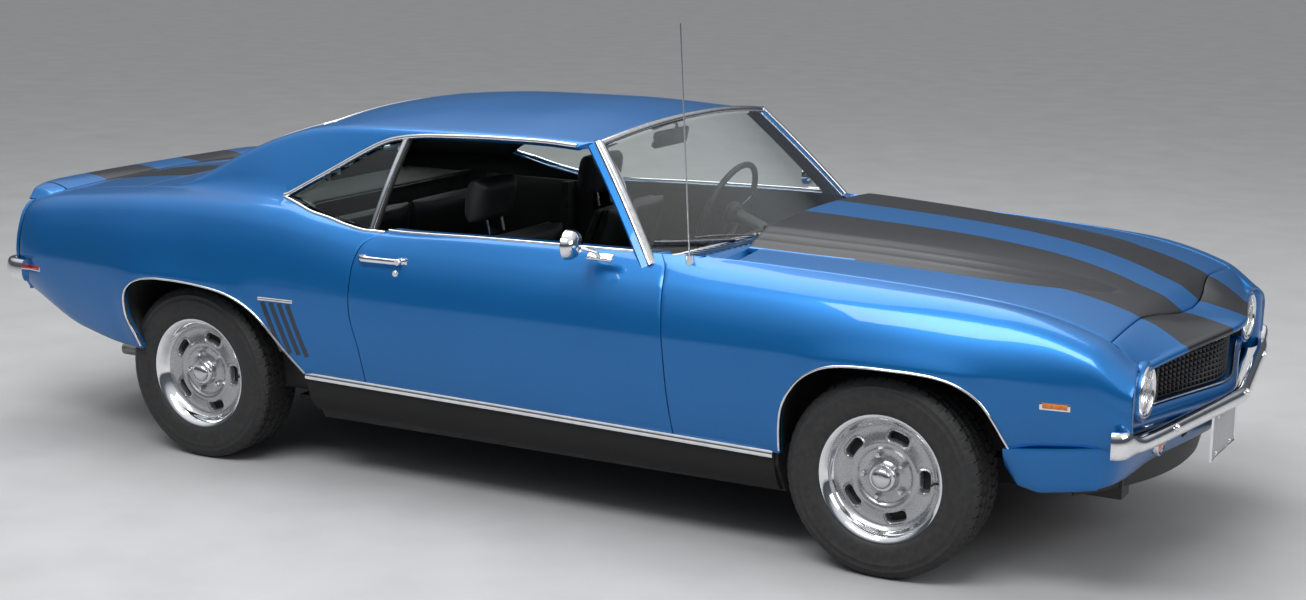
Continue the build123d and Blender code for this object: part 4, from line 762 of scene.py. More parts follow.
class HARDTOP_OT_finishes(bpy.types.Operator):
    """Make every finish of the car"""

    bl_idname = "hardtop.finishes"
    bl_label = "Finishes"

    def execute(self, context):
        scene = context.scene
        paint, cabin = scene.hardtop_paint, scene.hardtop_cabin
        front_x, rear_x = 2.245, 0.796
        inner_slope = (paint.stripe_inner - 0.097) / (front_x - rear_x)
        outer_slope = (paint.stripe_outer - 0.385) / (front_x - rear_x)
        FINISHES["paint"] = paint_finish("body_paint", paint)
        FINISHES["striped"] = paint_finish(
            "striped_paint", paint,
            (paint.stripe_inner, inner_slope, paint.stripe_outer, outer_slope, rear_x, 0.715))
        FINISHES["striped_rear"] = paint_finish(
            "striped_deck_paint", paint, (0.130, 0.0, 0.425, 0.0, 0.0, 0.3))
        FINISHES["chrome"] = finish("chrome", (0.80, 0.81, 0.83), (0.93, 0.94, 0.95), 30, 0.07, 1.0,
                                    rough_span=0.03)
        FINISHES["polished"] = finish("polished_steel", (0.58, 0.59, 0.61), (0.74, 0.75, 0.77), 60, 0.17, 1.0,
                                      rough_span=0.05)
        FINISHES["wheel_paint"] = finish("wheel_silver", (0.36, 0.37, 0.38), (0.46, 0.47, 0.48), 420, 0.28,
                                         0.85,
                                         coat=0.6, kind="CELLS")
        FINISHES["black_gloss"] = finish("black_gloss", (0.006, 0.006, 0.007), (0.012, 0.012, 0.013), 40,
                                         0.22, coat=0.4)
        FINISHES["black_satin"] = finish("black_satin", (0.010, 0.010, 0.010), (0.022, 0.022, 0.023), 160,
                                         0.5,
                                         relief=(900, 0.2, 0.0002))
        # Near-black for openings and recesses: painted shade that stands in for the dark inside the scoop
        # mouth, grille, cowl vents, air slot, wheel slots and behind the wheels. On the rocker it is also the
        # black-out paint, darkened to the shade under the sill.
        FINISHES["dark"] = finish("shade_black", (0.004, 0.004, 0.004), (0.009, 0.009, 0.009), 30, 0.8)
        FINISHES["underseal"] = finish("underseal", (0.012, 0.012, 0.013), (0.035, 0.034, 0.033), 24, 0.82,
                                       relief=(240, 0.5, 0.0012), detail=6)
        # Black of the stripe on the scoop's ribbed flanks, lifted to dark grey as a painted reflection of the
        # sky.
        FINISHES["scoop_flank"] = finish("scoop_flank", (0.018, 0.019, 0.021), (0.030, 0.031, 0.034), 300,
                                         0.34, 0.4,
                                         kind="CELLS")
        # Near-black blue: the body blue as painted shade, standing in for the shaded recesses of the louvres.
        FINISHES["louvre"] = finish("louvre_dark", (0.006, 0.012, 0.026), (0.010, 0.018, 0.036), 60, 0.3,
                                    coat=0.5)
        FINISHES["reflector"] = finish("lamp_reflector", (0.80, 0.81, 0.82), (0.90, 0.91, 0.92), 40, 0.12,
                                       1.0,
                                       rough_span=0.03)
        FINISHES["mirror_glass"] = finish("mirror_glass", (0.82, 0.84, 0.85), (0.90, 0.91, 0.92), 12, 0.04,
                                          1.0,
                                          rough_span=0.015)
        FINISHES["wiper"] = finish("wiper_satin", (0.10, 0.10, 0.10), (0.20, 0.20, 0.20), 80, 0.35, 0.9)
        FINISHES["rubber"] = finish("seal_rubber", (0.008, 0.008, 0.008), (0.018, 0.018, 0.018), 90, 0.6)
        FINISHES["tyre"] = finish("tyre_rubber", (0.012, 0.012, 0.013), (0.026, 0.026, 0.026), 55, 0.62,
                                  relief=(700, 0.25, 0.0003), detail=5)
        FINISHES["vinyl"] = finish("seat_vinyl", tuple(c * 0.8 for c in cabin.vinyl),
                                   tuple(c * 1.5 for c in cabin.vinyl),
                                   420, 0.42, kind="CELLS", relief=(1300, 0.35, 0.0004))
        FINISHES["dash"] = finish("dash_pad", (0.012, 0.012, 0.012), (0.024, 0.024, 0.024), 300, 0.48,
                                  kind="CELLS",
                                  relief=(1600, 0.3, 0.0003))
        FINISHES["carpet"] = finish("carpet", (0.008, 0.008, 0.009), (0.03, 0.03, 0.032), 900, 0.95,
                                    relief=(1800, 0.8, 0.002))
        FINISHES["headliner"] = finish("headliner", (0.02, 0.02, 0.02), (0.035, 0.035, 0.035), 700, 0.8,
                                       relief=(1500, 0.4, 0.0006))
        FINISHES["glass"] = glass_finish("window_glass", (0.86, 0.93, 0.90))
        FINISHES["lamp_glass"] = glass_finish("lamp_glass", (0.95, 0.96, 0.97), 0.02)
        FINISHES["red_lens"] = finish("red_lens", (0.30, 0.004, 0.004), (0.42, 0.010, 0.008), 120, 0.12,
                                      coat=0.8,
                                      kind="CELLS", relief=(900, 0.3, 0.0004))
        FINISHES["amber_lens"] = finish("amber_lens", (0.50, 0.12, 0.01), (0.62, 0.18, 0.02), 120, 0.15,
                                        coat=0.8,
                                        kind="CELLS")
        FINISHES["iron"] = finish("cast_iron", (0.06, 0.055, 0.05), (0.14, 0.13, 0.12), 60, 0.62, 0.6,
                                  relief=(400, 0.5, 0.0006), detail=6)
        FINISHES["engine"] = finish("engine_enamel", (0.22, 0.035, 0.012), (0.30, 0.06, 0.02), 25, 0.4,
                                    detail=5)
        FINISHES["steel"] = finish("aged_steel", (0.22, 0.21, 0.20), (0.38, 0.37, 0.36), 35, 0.42, 0.9,
                                   detail=6)
        # Grey of the blank plate, darkened as painted shade for the shadow under the bumper.
        FINISHES["plate"] = finish("plate_blank_shaded", (0.34, 0.35, 0.36), (0.40, 0.41, 0.42), 50, 0.4)
        return {"FINISHED"}


class HARDTOP_OT_stage(bpy.types.Operator):
    """Set the pale floor, the soft lights and the camera"""

    bl_idname = "hardtop.stage"
    bl_label = "Floor, lights and camera"

    def execute(self, context):
        scene = context.scene
        scene.view_settings.view_transform = "Standard"
        mesh = bpy.data.meshes.new("floor")
        size = 40.0
        mesh.from_pydata([(-size, -size, 0), (size, -size, 0), (size, size, 0), (-size, size, 0)], [],
                         [(0, 1, 2, 3)])
        floor = bpy.data.objects.new("floor", mesh)
        scene.collection.objects.link(floor)
        floor_finish = finish("floor_finish", (0.34, 0.34, 0.345), (0.38, 0.38, 0.385), 3, 0.9, detail=6)
        mesh.materials.append(floor_finish)

        world = scene.world or bpy.data.worlds.new("studio")
        scene.world = world
        world.use_nodes = True
        tree = world.node_tree
        tree.nodes.clear()
        out = tree.nodes.new("ShaderNodeOutputWorld")
        seen = tree.nodes.new("ShaderNodeBackground")
        seen.inputs["Color"].default_value = (0.86, 0.87, 0.88, 1)
        seen.inputs["Strength"].default_value = 1.0
        fill = tree.nodes.new("ShaderNodeBackground")
        fill.inputs["Strength"].default_value = 0.85
        where = tree.nodes.new("ShaderNodeTexCoord")
        split = tree.nodes.new("ShaderNodeSeparateXYZ")
        link(tree, where, "Generated", split, "Vector")
        sky = ramp(tree, split, "Z", ((0.0, (0.08, 0.09, 0.10)), (0.28, (0.11, 0.12, 0.14)),
                                       (0.50, (0.62, 0.65, 0.70)), (0.78, (1.0, 1.0, 1.0))))
        link(tree, sky, "Color", fill, "Color")
        path = tree.nodes.new("ShaderNodeLightPath")
        mix = tree.nodes.new("ShaderNodeMixShader")
        link(tree, path, "Is Camera Ray", mix, 0)
        link(tree, fill, "Background", mix, 1)
        link(tree, seen, "Background", mix, 2)
        link(tree, mix, "Shader", out, "Surface")

        for name, place, size, power in (
                ("key", (1.0, -5.0, 6.8), (6.0, 2.4), 460), ("top", (-1.0, 1.0, 7.0), (7.0, 5.0), 380),
                ("nose", (7.0, -1.0, 3.5), (4.0, 2.5), 120)):
            light = bpy.data.lights.new(name, "AREA")
            light.shape, light.size, light.size_y, light.energy = "RECTANGLE", size[0], size[1], power
            lamp = bpy.data.objects.new(name, light)
            lamp.location = place
            lamp.rotation_euler = (Vector((0, 0, 0.6)) - Vector(place)).to_track_quat("-Z", "Y").to_euler()
            scene.collection.objects.link(lamp)

        view = bpy.data.cameras.new("camera")
        view.sensor_width = SENSOR_WIDTH
        view.lens = CAMERA["focal_px"] / PHOTO_WIDTH * SENSOR_WIDTH
        view.shift_y = (CAMERA["centre_v"] - PHOTO_HEIGHT / 2) / PHOTO_WIDTH
        view.clip_end = 200
        camera = bpy.data.objects.new("camera", view)
        yaw, pitch, roll = (radians(CAMERA[k]) for k in ("yaw", "pitch", "roll"))
        ahead = Vector((-sin(yaw) * cos(pitch), cos(yaw) * cos(pitch), -sin(pitch)))
        right = Vector((cos(yaw), sin(yaw), 0))
        up = right.cross(ahead)
        right, up = right * cos(roll) + up * sin(roll), up * cos(roll) - right * sin(roll)
        turn = Matrix((right, up, -ahead)).transposed().to_4x4()
        camera.matrix_world = Matrix.Translation(Vector(CAMERA["place"]) * MM) @ turn
        scene.collection.objects.link(camera)
        scene.camera = camera
        return {"FINISHED"}


def way(*points, step=14.0):
    """Straight lines between points, in even steps."""
    out = []
    for a, b in zip(points[:-1], points[1:]):
        a, b = np.array(a, float), np.array(b, float)
        count = max(1, int(np.linalg.norm(b - a) / step))
        out.append(a + (b - a) * np.linspace(0, 1, count + 1)[:, None])
    return np.vstack(out)


def quads(n, m):
    """Faces over n rows of m points."""
    return [[i * m + j, (i + 1) * m + j, (i + 1) * m + j + 1, i * m + j + 1]
            for i in range(n - 1) for j in range(m - 1)]


def grid_mesh(points, outward=(0, 0, 1)):
    """Mesh over a grid of points."""
    points = np.asarray(points, float)
    verts = points.reshape(-1, 3)
    return verts, facing(verts, quads(*points.shape[:2]), outward)


def welded(verts, faces, near=0.4):
    """Joins points that lie in the same place."""
    key = np.round(np.asarray(verts) / near).astype(int)
    _, first, back = np.unique(key, axis=0, return_index=True, return_inverse=True)
    back = back.ravel()
    out = []
    for f in faces:
        g = [int(back[i]) for i in f]
        g = [a for k, a in enumerate(g) if a != g[k - 1]]
        if len(set(g)) > 2:
            out.append(g)
    return np.asarray(verts)[first], out


def whole(verts, faces):
    """A left half and its mirror image, joined at the middle."""
    verts = np.asarray(verts, float).copy()
    verts[np.abs(verts[:, 1]) < 1.0, 1] = 0
    return welded(*merged((verts, faces), mirrored(verts, faces)))


def lined(mesh, depth, inward=None):
    """Panel with a rolled edge, a return flange and an inner sheet. Gives the material of each face."""
    verts, faces = mesh
    verts = np.asarray(verts, float)
    outer_verts, outer_faces = rolled(verts, faces, depth, inward=inward)
    shift = -normals_of(verts, faces) if inward is None else np.array(inward, float)
    inner = (verts + shift * depth, [list(f)[::-1] for f in faces])
    both = merged((outer_verts, outer_faces), inner)
    return both, [0] * len(outer_faces) + [1] * len(inner[1])


def set_slots(piece, slots):
    """Material number of each face."""
    piece.data.polygons.foreach_set("material_index", slots)


def body_edge(x):
    """Half width and height of the line between the body's side and its top panels."""
    flat = np.ravel(np.asarray(x, float))
    p = SKIN.at(flat, np.full_like(flat, skin_v("edge")))
    return p[:, 1].reshape(np.shape(x)), p[:, 2].reshape(np.shape(x))


# Windshield: arcs at two heights. Columns: z, middle_x, edge_x, edge_y
GLASS_ARCS = ((880.0, 819.0, 600.0, 815.0), (1345.0, 246.0, 202.0, 580.0))


def glass_foot(side):
    """Height of the windshield's lower edge, raised where the scoop swings past it."""
    return 940 - 18 * np.clip((np.abs(side) - 0.55) / 0.3, 0, 1)


def glass_point(side, z, out=0.0):
    """Point of the windshield, side running from -1 to 1 across it."""
    (z0, m0, e0, y0), (z1, m1, e1, y1) = GLASS_ARCS
    side, z = np.broadcast_arrays(np.asarray(side, float), np.asarray(z, float))
    k = (z - z0) / (z1 - z0)
    middle, edge, edge_y = m0 + (m1 - m0) * k, e0 + (e1 - e0) * k, y0 + (y1 - y0) * k
    swell = 10 * 4 * np.clip(k, 0, 1) * (1 - np.clip(k, 0, 1))
    x = middle - (middle - edge) * side ** 2 + (swell + out) * 0.66
    return np.stack((x, edge_y * side, z + (swell + out) * 0.75), -1)


def glass_half_width(z):
    """Half width of the windshield at a height."""
    (z0, _, _, y0), (z1, _, _, y1) = GLASS_ARCS
    return y0 + (y1 - y0) * ((z - z0) / (z1 - z0))


def roof_front():
    """Front edge of the roof, where it meets the windshield, from the middle out."""
    rows = np.linspace(SKIN.mark["crown"], SKIN.mark["rail_out"], 15).astype(int)
    out = []
    for row in rows:
        x = 280.0
        for _ in range(12):
            p = SKIN.at([x], [SKIN.v[row]])[0]
            side = min(p[1] / glass_half_width(p[2]), 1.0)
            x += 0.6 * (glass_point(side, p[2])[0] - 12 - x)
        out.append((x, SKIN.v[row]))
    return np.array(out)


class HARDTOP_OT_shell(bpy.types.Operator):
    """Build the roof, sail panels and quarter panels as one skin"""

    bl_idname = "hardtop.shell"
    bl_label = "Roof and quarter panels"

    def execute(self, context):
        gap = PANEL_GAP / 2
        front = roof_front()
        top = side_line(WINDOW_TOP[::-1], low="edge", high="rail")
        rear_cut = spline(DOOR_REAR_CUT[::-1], 10) - (gap, 0)
        outline = joined(
            front, way(front[-1], top[0]), top,
            side_line(QUARTER_WINDOW_REAR[::-1], low="edge", high="rail"), side_line(BELT_LINE),
            unrolled(rear_cut),
            way((-545, 0), (-800, 0)), side_line(REAR_ARCH[::-1]), way((-1560, 0), (-2204, 0)),
            way((-2204, 0), (-2204, skin_v("edge"))), mark_line("edge", -2204, -1500),
            way((-1500, skin_v("edge")), (-1500, skin_v("rail"))), self.backlight(),
            way((-905, SKIN.width([-905], [516])[0]), (-905, skin_v("crown"))),
            way((-905, skin_v("crown")), (front[0][0], skin_v("crown")), step=20))
        mesh, slots = lined(whole(*side_panel(outline, 17.0, bulge=arch_flare)), 20.0)
        piece = new_piece("body_shell", *mesh, "body", ("paint", "headliner"),
                          ("roof_panel", "quarter_left", "quarter_right"), "paint")
        set_slots(piece, slots)
        return {"FINISHED"}

    def backlight(self):
        """Edge of the rear window from the deck up to the roof."""
        edge = spline(BACKLIGHT_EDGE[::-1], 12)
        return np.column_stack((edge[:, 0], SKIN.width(edge[:, 0], edge[:, 1])))


def fender_outline():
    """Edge of the front fender on the unrolled surface."""
    gap = PANEL_GAP / 2
    cut = spline(DOOR_FRONT_CUT[::-1], 10) + (gap, 0)
    nose = 2191.0
    return joined(
        unrolled(cut), mark_line("edge", 594, nose - 22),
        way((nose - 22, skin_v("edge")), (nose, skin_v("shoulder"))),
        way((nose, skin_v("shoulder")), (nose, 60)),
        way((nose, 60), (nose - 40, 0)), way((nose - 40, 0), (1887, 0)), side_line(FRONT_ARCH),
        way((1085, 0), (704, 0)))


def door_outline():
    """Edge of the door on the unrolled surface."""
    gap = PANEL_GAP / 2
    front = spline(DOOR_FRONT_CUT, 10) - (gap, 0)
    rear = spline(DOOR_REAR_CUT, 10) + (gap, 0)
    return joined(
        mark_line("edge", -478, 584), unrolled(front), way((694, 3), (-535, 3)), unrolled(rear))


class HARDTOP_OT_fenders(bpy.types.Operator):
    """Build the front fenders with their flared arches"""

    bl_idname = "hardtop.fenders"
    bl_label = "Fenders"

    def execute(self, context):
        skin = rolled(*side_panel(fender_outline(), 14.0, bulge=arch_flare), 22.0)
        pair("fender_skin", *skin, "body", "paint", ("fender_{side}",), "paint")
        return {"FINISHED"}


class HARDTOP_OT_doors(bpy.types.Operator):
    """Build the doors with handle, lock, armrest and inner card"""

    bl_idname = "hardtop.doors"
    bl_label = "Doors"

    def execute(self, context):
        skin = side_panel(door_outline(), 15.0)
        mesh, slots = lined(skin, 66.0, inward=(0, -1, 0))
        for piece in pair("door_skin", *mesh, "door_{side}", ("paint", "dash"), ("door_{side}",),
                          "paint").values():
            set_slots(piece, slots)
        rest = moved(soft_box((520, 52, 58), 16, 3), (20, 744, 660))
        pull = moved(soft_box((130, 22, 26), 9, 3), (250, 738, 720))
        pair("armrest", *merged(rest, pull), "door_{side}", "vinyl")
        crank_arm = moved(soft_box((104, 9, 13), 4, 2), (330, 748, 610), Matrix.Rotation(radians(25), 4, "Y"))
        crank_hub = moved(lathe(((0, 16), (13, 16), (17, 10), (17, 0)), 24), (376, 742, 590))
        knob = moved(lathe(((0, 0), (10, 0), (12, -6), (11, -28), (0, -30)), 20), (286, 742, 630))
        pair("window_crank", *merged(crank_arm, crank_hub, knob), "door_{side}", "chrome")
        self.handle()
        return {"FINISHED"}

    def handle(self):
        """Outside handle: a bright bar on two feet with a push button, and the lock below it."""
        x = np.linspace(-546, -352, 26)
        y = SKIN.at(x, SKIN.height(x, np.full_like(x, 838)))[:, 1]
        rise = 26 * np.clip(np.minimum((x + 546) / 26, (-352 - x) / 40), 0, 1) ** 0.6
        bar = sweep(np.column_stack((x, y + rise, np.full_like(x, 839))), (0, 1, 0), oval(19, 9, 12))
        button = moved(lathe(((0, 8), (10, 8), (12, 5), (12, -24)), 24), (-372, float(y[-3]) + 20, 839))
        foot = moved(soft_box((40, 6, 25), 3, 2), (-366, float(y[-2]) + 1, 839))
        foot_rear = moved(soft_box((34, 6, 23), 3, 2), (-532, float(y[1]) + 1, 839))
        lock_y = float(SKIN.at([-388], SKIN.height([-388], [796]))[0, 1])
        lock = moved(lathe(((0, 2.4), (9, 2.4), (11, 1), (12.5, -4)), 24), (-388, lock_y + 1, 796))
        pair("door_handle", *merged(bar, button, foot, foot_rear, lock), "door_{side}", "chrome")


def plan_x(plan, y):
    """X of a plan line at a half width."""
    line = np.array(plan, float)[::-1]
    return smooth_value(line[:, 1], line[:, 0], np.abs(y))


def hood_lines(x):
    """Ridge, rise and foot of the scoop at X."""
    x = np.clip(x, SCOOP_SECTIONS[0, 0], SCOOP_SECTIONS[-1, 0])
    return (smooth_value(SCOOP_SECTIONS[:, 0], SCOOP_SECTIONS[:, k], x) for k in (1, 2, 3))


def hood_base(x, y):
    """Height of the hood without its scoop."""
    edge_y, edge_z = body_edge(x)
    return edge_z - 1.0 + HOOD_CROWN * (1 - np.clip(np.abs(y) / edge_y, 0, 1.05) ** 2.4)


def hood_surface(x, column):
    """Hood point at X for a column: 0 to 1 up to the ridge, to 2 the foot, to 3 the edge."""
    ridge, rise, foot = hood_lines(x)
    edge = body_edge(x)[0] - 3.5
    c = np.abs(column)
    y = np.where(c <= 1, ridge * c,
                 np.where(c <= 2, ridge + (foot - ridge) * (c - 1), foot + (edge - foot) * (c - 2)))
    flank = np.clip(2 - c, 0, 1)
    height = rise * flank ** 0.92
    ribs = 1.6 * np.exp(-((flank - 0.34) / 0.06) ** 2) + 1.6 * np.exp(-((flank - 0.67) / 0.06) ** 2)
    height = height + np.where((c > 1) & (c < 2), ribs * np.clip(rise / 30, 0, 1), 0)
    height = height + np.where(c <= 1, rise * 0.10 * (1 - c ** 2), 0)
    y = y * np.sign(column)
    return np.stack((x, y, hood_base(x, y) + height), -1)


def hood_columns():
    """Columns of the hood's grid, closer over the scoop's flanks."""
    half = np.concatenate((np.linspace(0, 0.96, 12), np.linspace(1, 2, 25), np.linspace(2.03, 3, 16)))
    return np.concatenate((-half[:0:-1], half))


class HARDTOP_OT_hood(bpy.types.Operator):
    """Build the hood with its cowl scoop and stripes"""

    bl_idname = "hardtop.hood"
    bl_label = "Hood and scoop"

    def execute(self, context):
        columns = hood_columns()
        at_front = hood_surface(np.full_like(columns, 2095.0), columns)
        front_x = plan_x(HOOD_FRONT, at_front[:, 1])
        rows = np.linspace(0, 1, 110) ** 0.96
        x = HOOD_REAR_X + (front_x[None, :] - HOOD_REAR_X) * rows[:, None]
        sheet = grid_mesh(hood_surface(x, np.broadcast_to(columns, x.shape)))
        over = np.abs(columns) <= 2
        lip_x = np.linspace(SCOOP_SECTIONS[0, 0], HOOD_REAR_X, 5)[:, None] + 0 * columns[None, over]
        lip = grid_mesh(hood_surface(lip_x, np.broadcast_to(columns[over], lip_x.shape)))
        mesh, slots = lined(welded(*merged(sheet, lip), near=0.2), 14.0, inward=(0, 0, -1))
        middle = np.array([np.mean(np.asarray(mesh[0])[f], axis=0) for f in mesh[1]])
        ridge, rise, foot = hood_lines(middle[:, 0])
        flank = (np.abs(middle[:, 1]) > ridge + 2) & (np.abs(middle[:, 1]) < foot - 3) & (rise > 2.5)
        # Faces on the scoop's flanks take the lifted grey, a painted reflection of the sky on the black
        # stripe.
        slots = [2 if s == 0 and f else s for s, f in zip(slots, flank)]
        piece = new_piece("hood_skin", *mesh, "hood", ("striped", "underseal", "scoop_flank"),
                          ("hood",), "paint", crease=28)
        set_slots(piece, slots)
        self.mouth()
        self.brace()
        return {"FINISHED"}

    def mouth(self):
        """Near-black wall of painted shade inside the opening at the rear of the scoop, with upright vanes.
        """
        ridge, rise, foot = (float(v[0]) for v in hood_lines(np.array([880.0])))
        y = np.linspace(-foot + 40, foot - 40, 60)
        hood_z = hood_base(np.full_like(y, 872.0), y)
        flank = np.clip((foot - np.abs(y)) / (foot - ridge), 0, 1)
        wall = [np.stack((np.full_like(y, x), y, z), -1)
                for x, z in ((874.0, hood_z - 4), (868.0, hood_z + rise * flank - 5))]
        # The wall is painted shade standing in for the dark inside the scoop.
        new_piece("scoop_mouth_shade", *grid_mesh(wall, (-1, 0, 0)), "hood", "dark")
        vanes = []
        for place in np.linspace(-ridge + 20, ridge - 20, 21):
            z = float(hood_base(np.array([860.0]), np.array([place]))[0])
            vanes.append(moved(soft_box((9, 2.4, rise - 12), 0.8, 1), (862, place, z + rise / 2 - 3)))
        new_piece("scoop_vanes", *merged(*vanes), "hood", "black_satin")

    def brace(self):
        """Pressed frame under the hood."""
        bars = []
        for start, end, wide in (((900, -610), (2030, -600), 70), ((900, 610), (2030, 600), 70),
                                 ((900, -560), (900, 560), 70), ((2030, -560), (2030, 560), 70),
                                 ((930, -560), (1990, 420), 54), ((930, 560), (1990, -420), 54)):
            path = way(start, end, step=40)
            z = hood_base(path[:, 0], path[:, 1]) - 22
            bars.append(sweep(np.column_stack((path, z)), (0, 0, -1),
                              ((-wide / 2, -6), (-wide / 2 + 12, 10), (wide / 2 - 12, 10), (wide / 2, -6))))
        new_piece("hood_frame", *merged(*bars), "hood", "underseal")


def header_front(y):
    """X of the header's front edge."""
    return plan_x(HEADER_FRONT, y)


def header_edge_z(y):
    """Height of the header's front edge."""
    return 756 - 32 * np.clip(np.abs(y) / 694, 0, 1) ** 1.3


class HARDTOP_OT_header(bpy.types.Operator):
    """Build the header panel between hood and grille"""

    bl_idname = "hardtop.header"
    bl_label = "Header panel"

    def execute(self, context):
        y = np.linspace(-693, 693, 90)
        rear_x = plan_x(HOOD_FRONT, y) + PANEL_GAP
        front_x = header_front(y)
        rear_z = hood_base(rear_x, y)
        front_z = header_edge_z(y)
        rows = []
        for t in np.linspace(0, 1, 16):
            rows.append(np.stack((rear_x + (front_x - 16 - rear_x) * t, y,
                                  rear_z + (front_z + 12 - rear_z) * t ** 1.35), -1))
        for angle in np.linspace(0, pi / 2, 6)[1:]:
            rows.append(np.stack((front_x - 16 + 16 * np.sin(angle), y, front_z - 2 + 14 * np.cos(angle)),
                                 -1))
        for back, down in ((0, 6), (-4, 10), (-16, 12), (-60, 12)):
            rows.append(np.stack((front_x + back, y, front_z - 2 - down), -1))
        skin = rolled(*grid_mesh(np.array(rows)), 12.0)
        new_piece("header_skin", *skin, "body", "striped", ("header_panel",), "paint")
        return {"FINISHED"}


class HARDTOP_OT_cowl(bpy.types.Operator):
    """Build the cowl panel with its vents and wipers"""

    bl_idname = "hardtop.cowl"
    bl_label = "Cowl and wipers"

    def execute(self, context):
        side = np.linspace(-0.985, 0.985, 80)
        base = glass_point(side, 918)
        rows = []
        for t in np.linspace(0, 1, 9):
            x = base[:, 0] - 6 + (HOOD_REAR_X - 5 - base[:, 0] + 6) * t
            edge = body_edge(x)[0] - 3
            y = np.clip(base[:, 1], -edge, edge)
            z = hood_base(x, y) - 9 - 10 * np.sin(pi * min(t, 0.5) / 0.5 / 2 + pi / 2)
            well_x = np.where(np.abs(y) < 430, 742, 815)
            well_z = np.where(np.abs(y) < 430, 922 - 36 * np.clip((x - 742) / 60, 0, 1), 908)
            rows.append(np.stack((x, y, np.where(x > well_x, np.minimum(z, well_z), z)), -1))
        skin = rolled(*grid_mesh(np.array(rows)), 14.0)
        new_piece("cowl_skin", *skin, "body", "paint", ("cowl_panel",), "paint")
        slots = []
        for y in np.concatenate((np.linspace(-690, -450, 11), np.linspace(450, 690, 11))):
            x0 = float(glass_point(y / 790, 918)[0]) + 30
            z = float(hood_base(np.array([x0 + 30]), np.array([y]))[0]) - 8
            slots.append(moved(soft_box((58, 9, 2.4), 1, 1), (x0 + 30, y, z)))
        # The vent slots are near-black boxes, painted shade standing in for the openings.
        new_piece("cowl_vent_shade", *merged(*slots), "body", "dark")
        self.wipers()
        return {"FINISHED"}

    def wipers(self):
        """Two parked wipers at the foot of the glass."""
        made = []
        for foot_y, tip_y, tip_z in ((300, -250, 962), (-330, -760, 968)):
            pivot = glass_point(foot_y / 800, 936, 16)
            tip = glass_point(tip_y / 800, tip_z - 14, 16)
            arm = np.array([pivot + (tip - pivot) * t + (0, 0, 10 * sin(pi * t)) for t in np.linspace(0, 0.62,
                                                                                                      8)])
            made.append(sweep(arm, (0.6, 0, 0.8), oval(9, 5, 8)))
            blade_from, blade_to = foot_y + (tip_y - foot_y) * 0.25, tip_y
            y = np.linspace(blade_from, blade_to, 12)
            z = np.linspace(950, tip_z + 6, 12)
            blade = glass_point(y / 800, z - 14, 9)
            made.append(sweep(blade, (0.6, 0, 0.8), ((-2, -6), (-4, 2), (-3, 7), (3, 7), (4, 2), (2, -6))))
            made.append(moved(lathe(((0, 16), (9, 15), (13, 8), (15, -12)), 18, axis="z"), pivot - (4, 0, 8)))
        new_piece("wipers", *merged(*made), "body", "wiper")


def deck_base(x, y):
    """Height of the deck between the quarter panels."""
    edge_y, edge_z = body_edge(x)
    return edge_z - 1.5 + DECK_CROWN * (1 - np.clip(np.abs(y) / edge_y, 0, 1.02) ** 2)


def deck_sheet(x_front, x_rear, side_gap, rows=30, columns=70):
    """Grid of the deck between two stations."""
    x = np.linspace(x_front, x_rear, rows)[:, None] + np.zeros(columns)[None, :]
    y = (body_edge(x)[0] - side_gap) * np.linspace(-1, 1, columns)[None, :]
    return np.stack((x, y, deck_base(x, y)), -1)


TAIL_X = -2214.0
SPOILER_EDGE = ((0, 955), (240, 955), (560, 953), (650, 947), (700, 937), (735, 919), (745, 908))


def tail_face_x(y):
    """Plan line of the rear face."""
    return TAIL_X - 26 * (1 - (np.abs(y) / 790) ** 2)


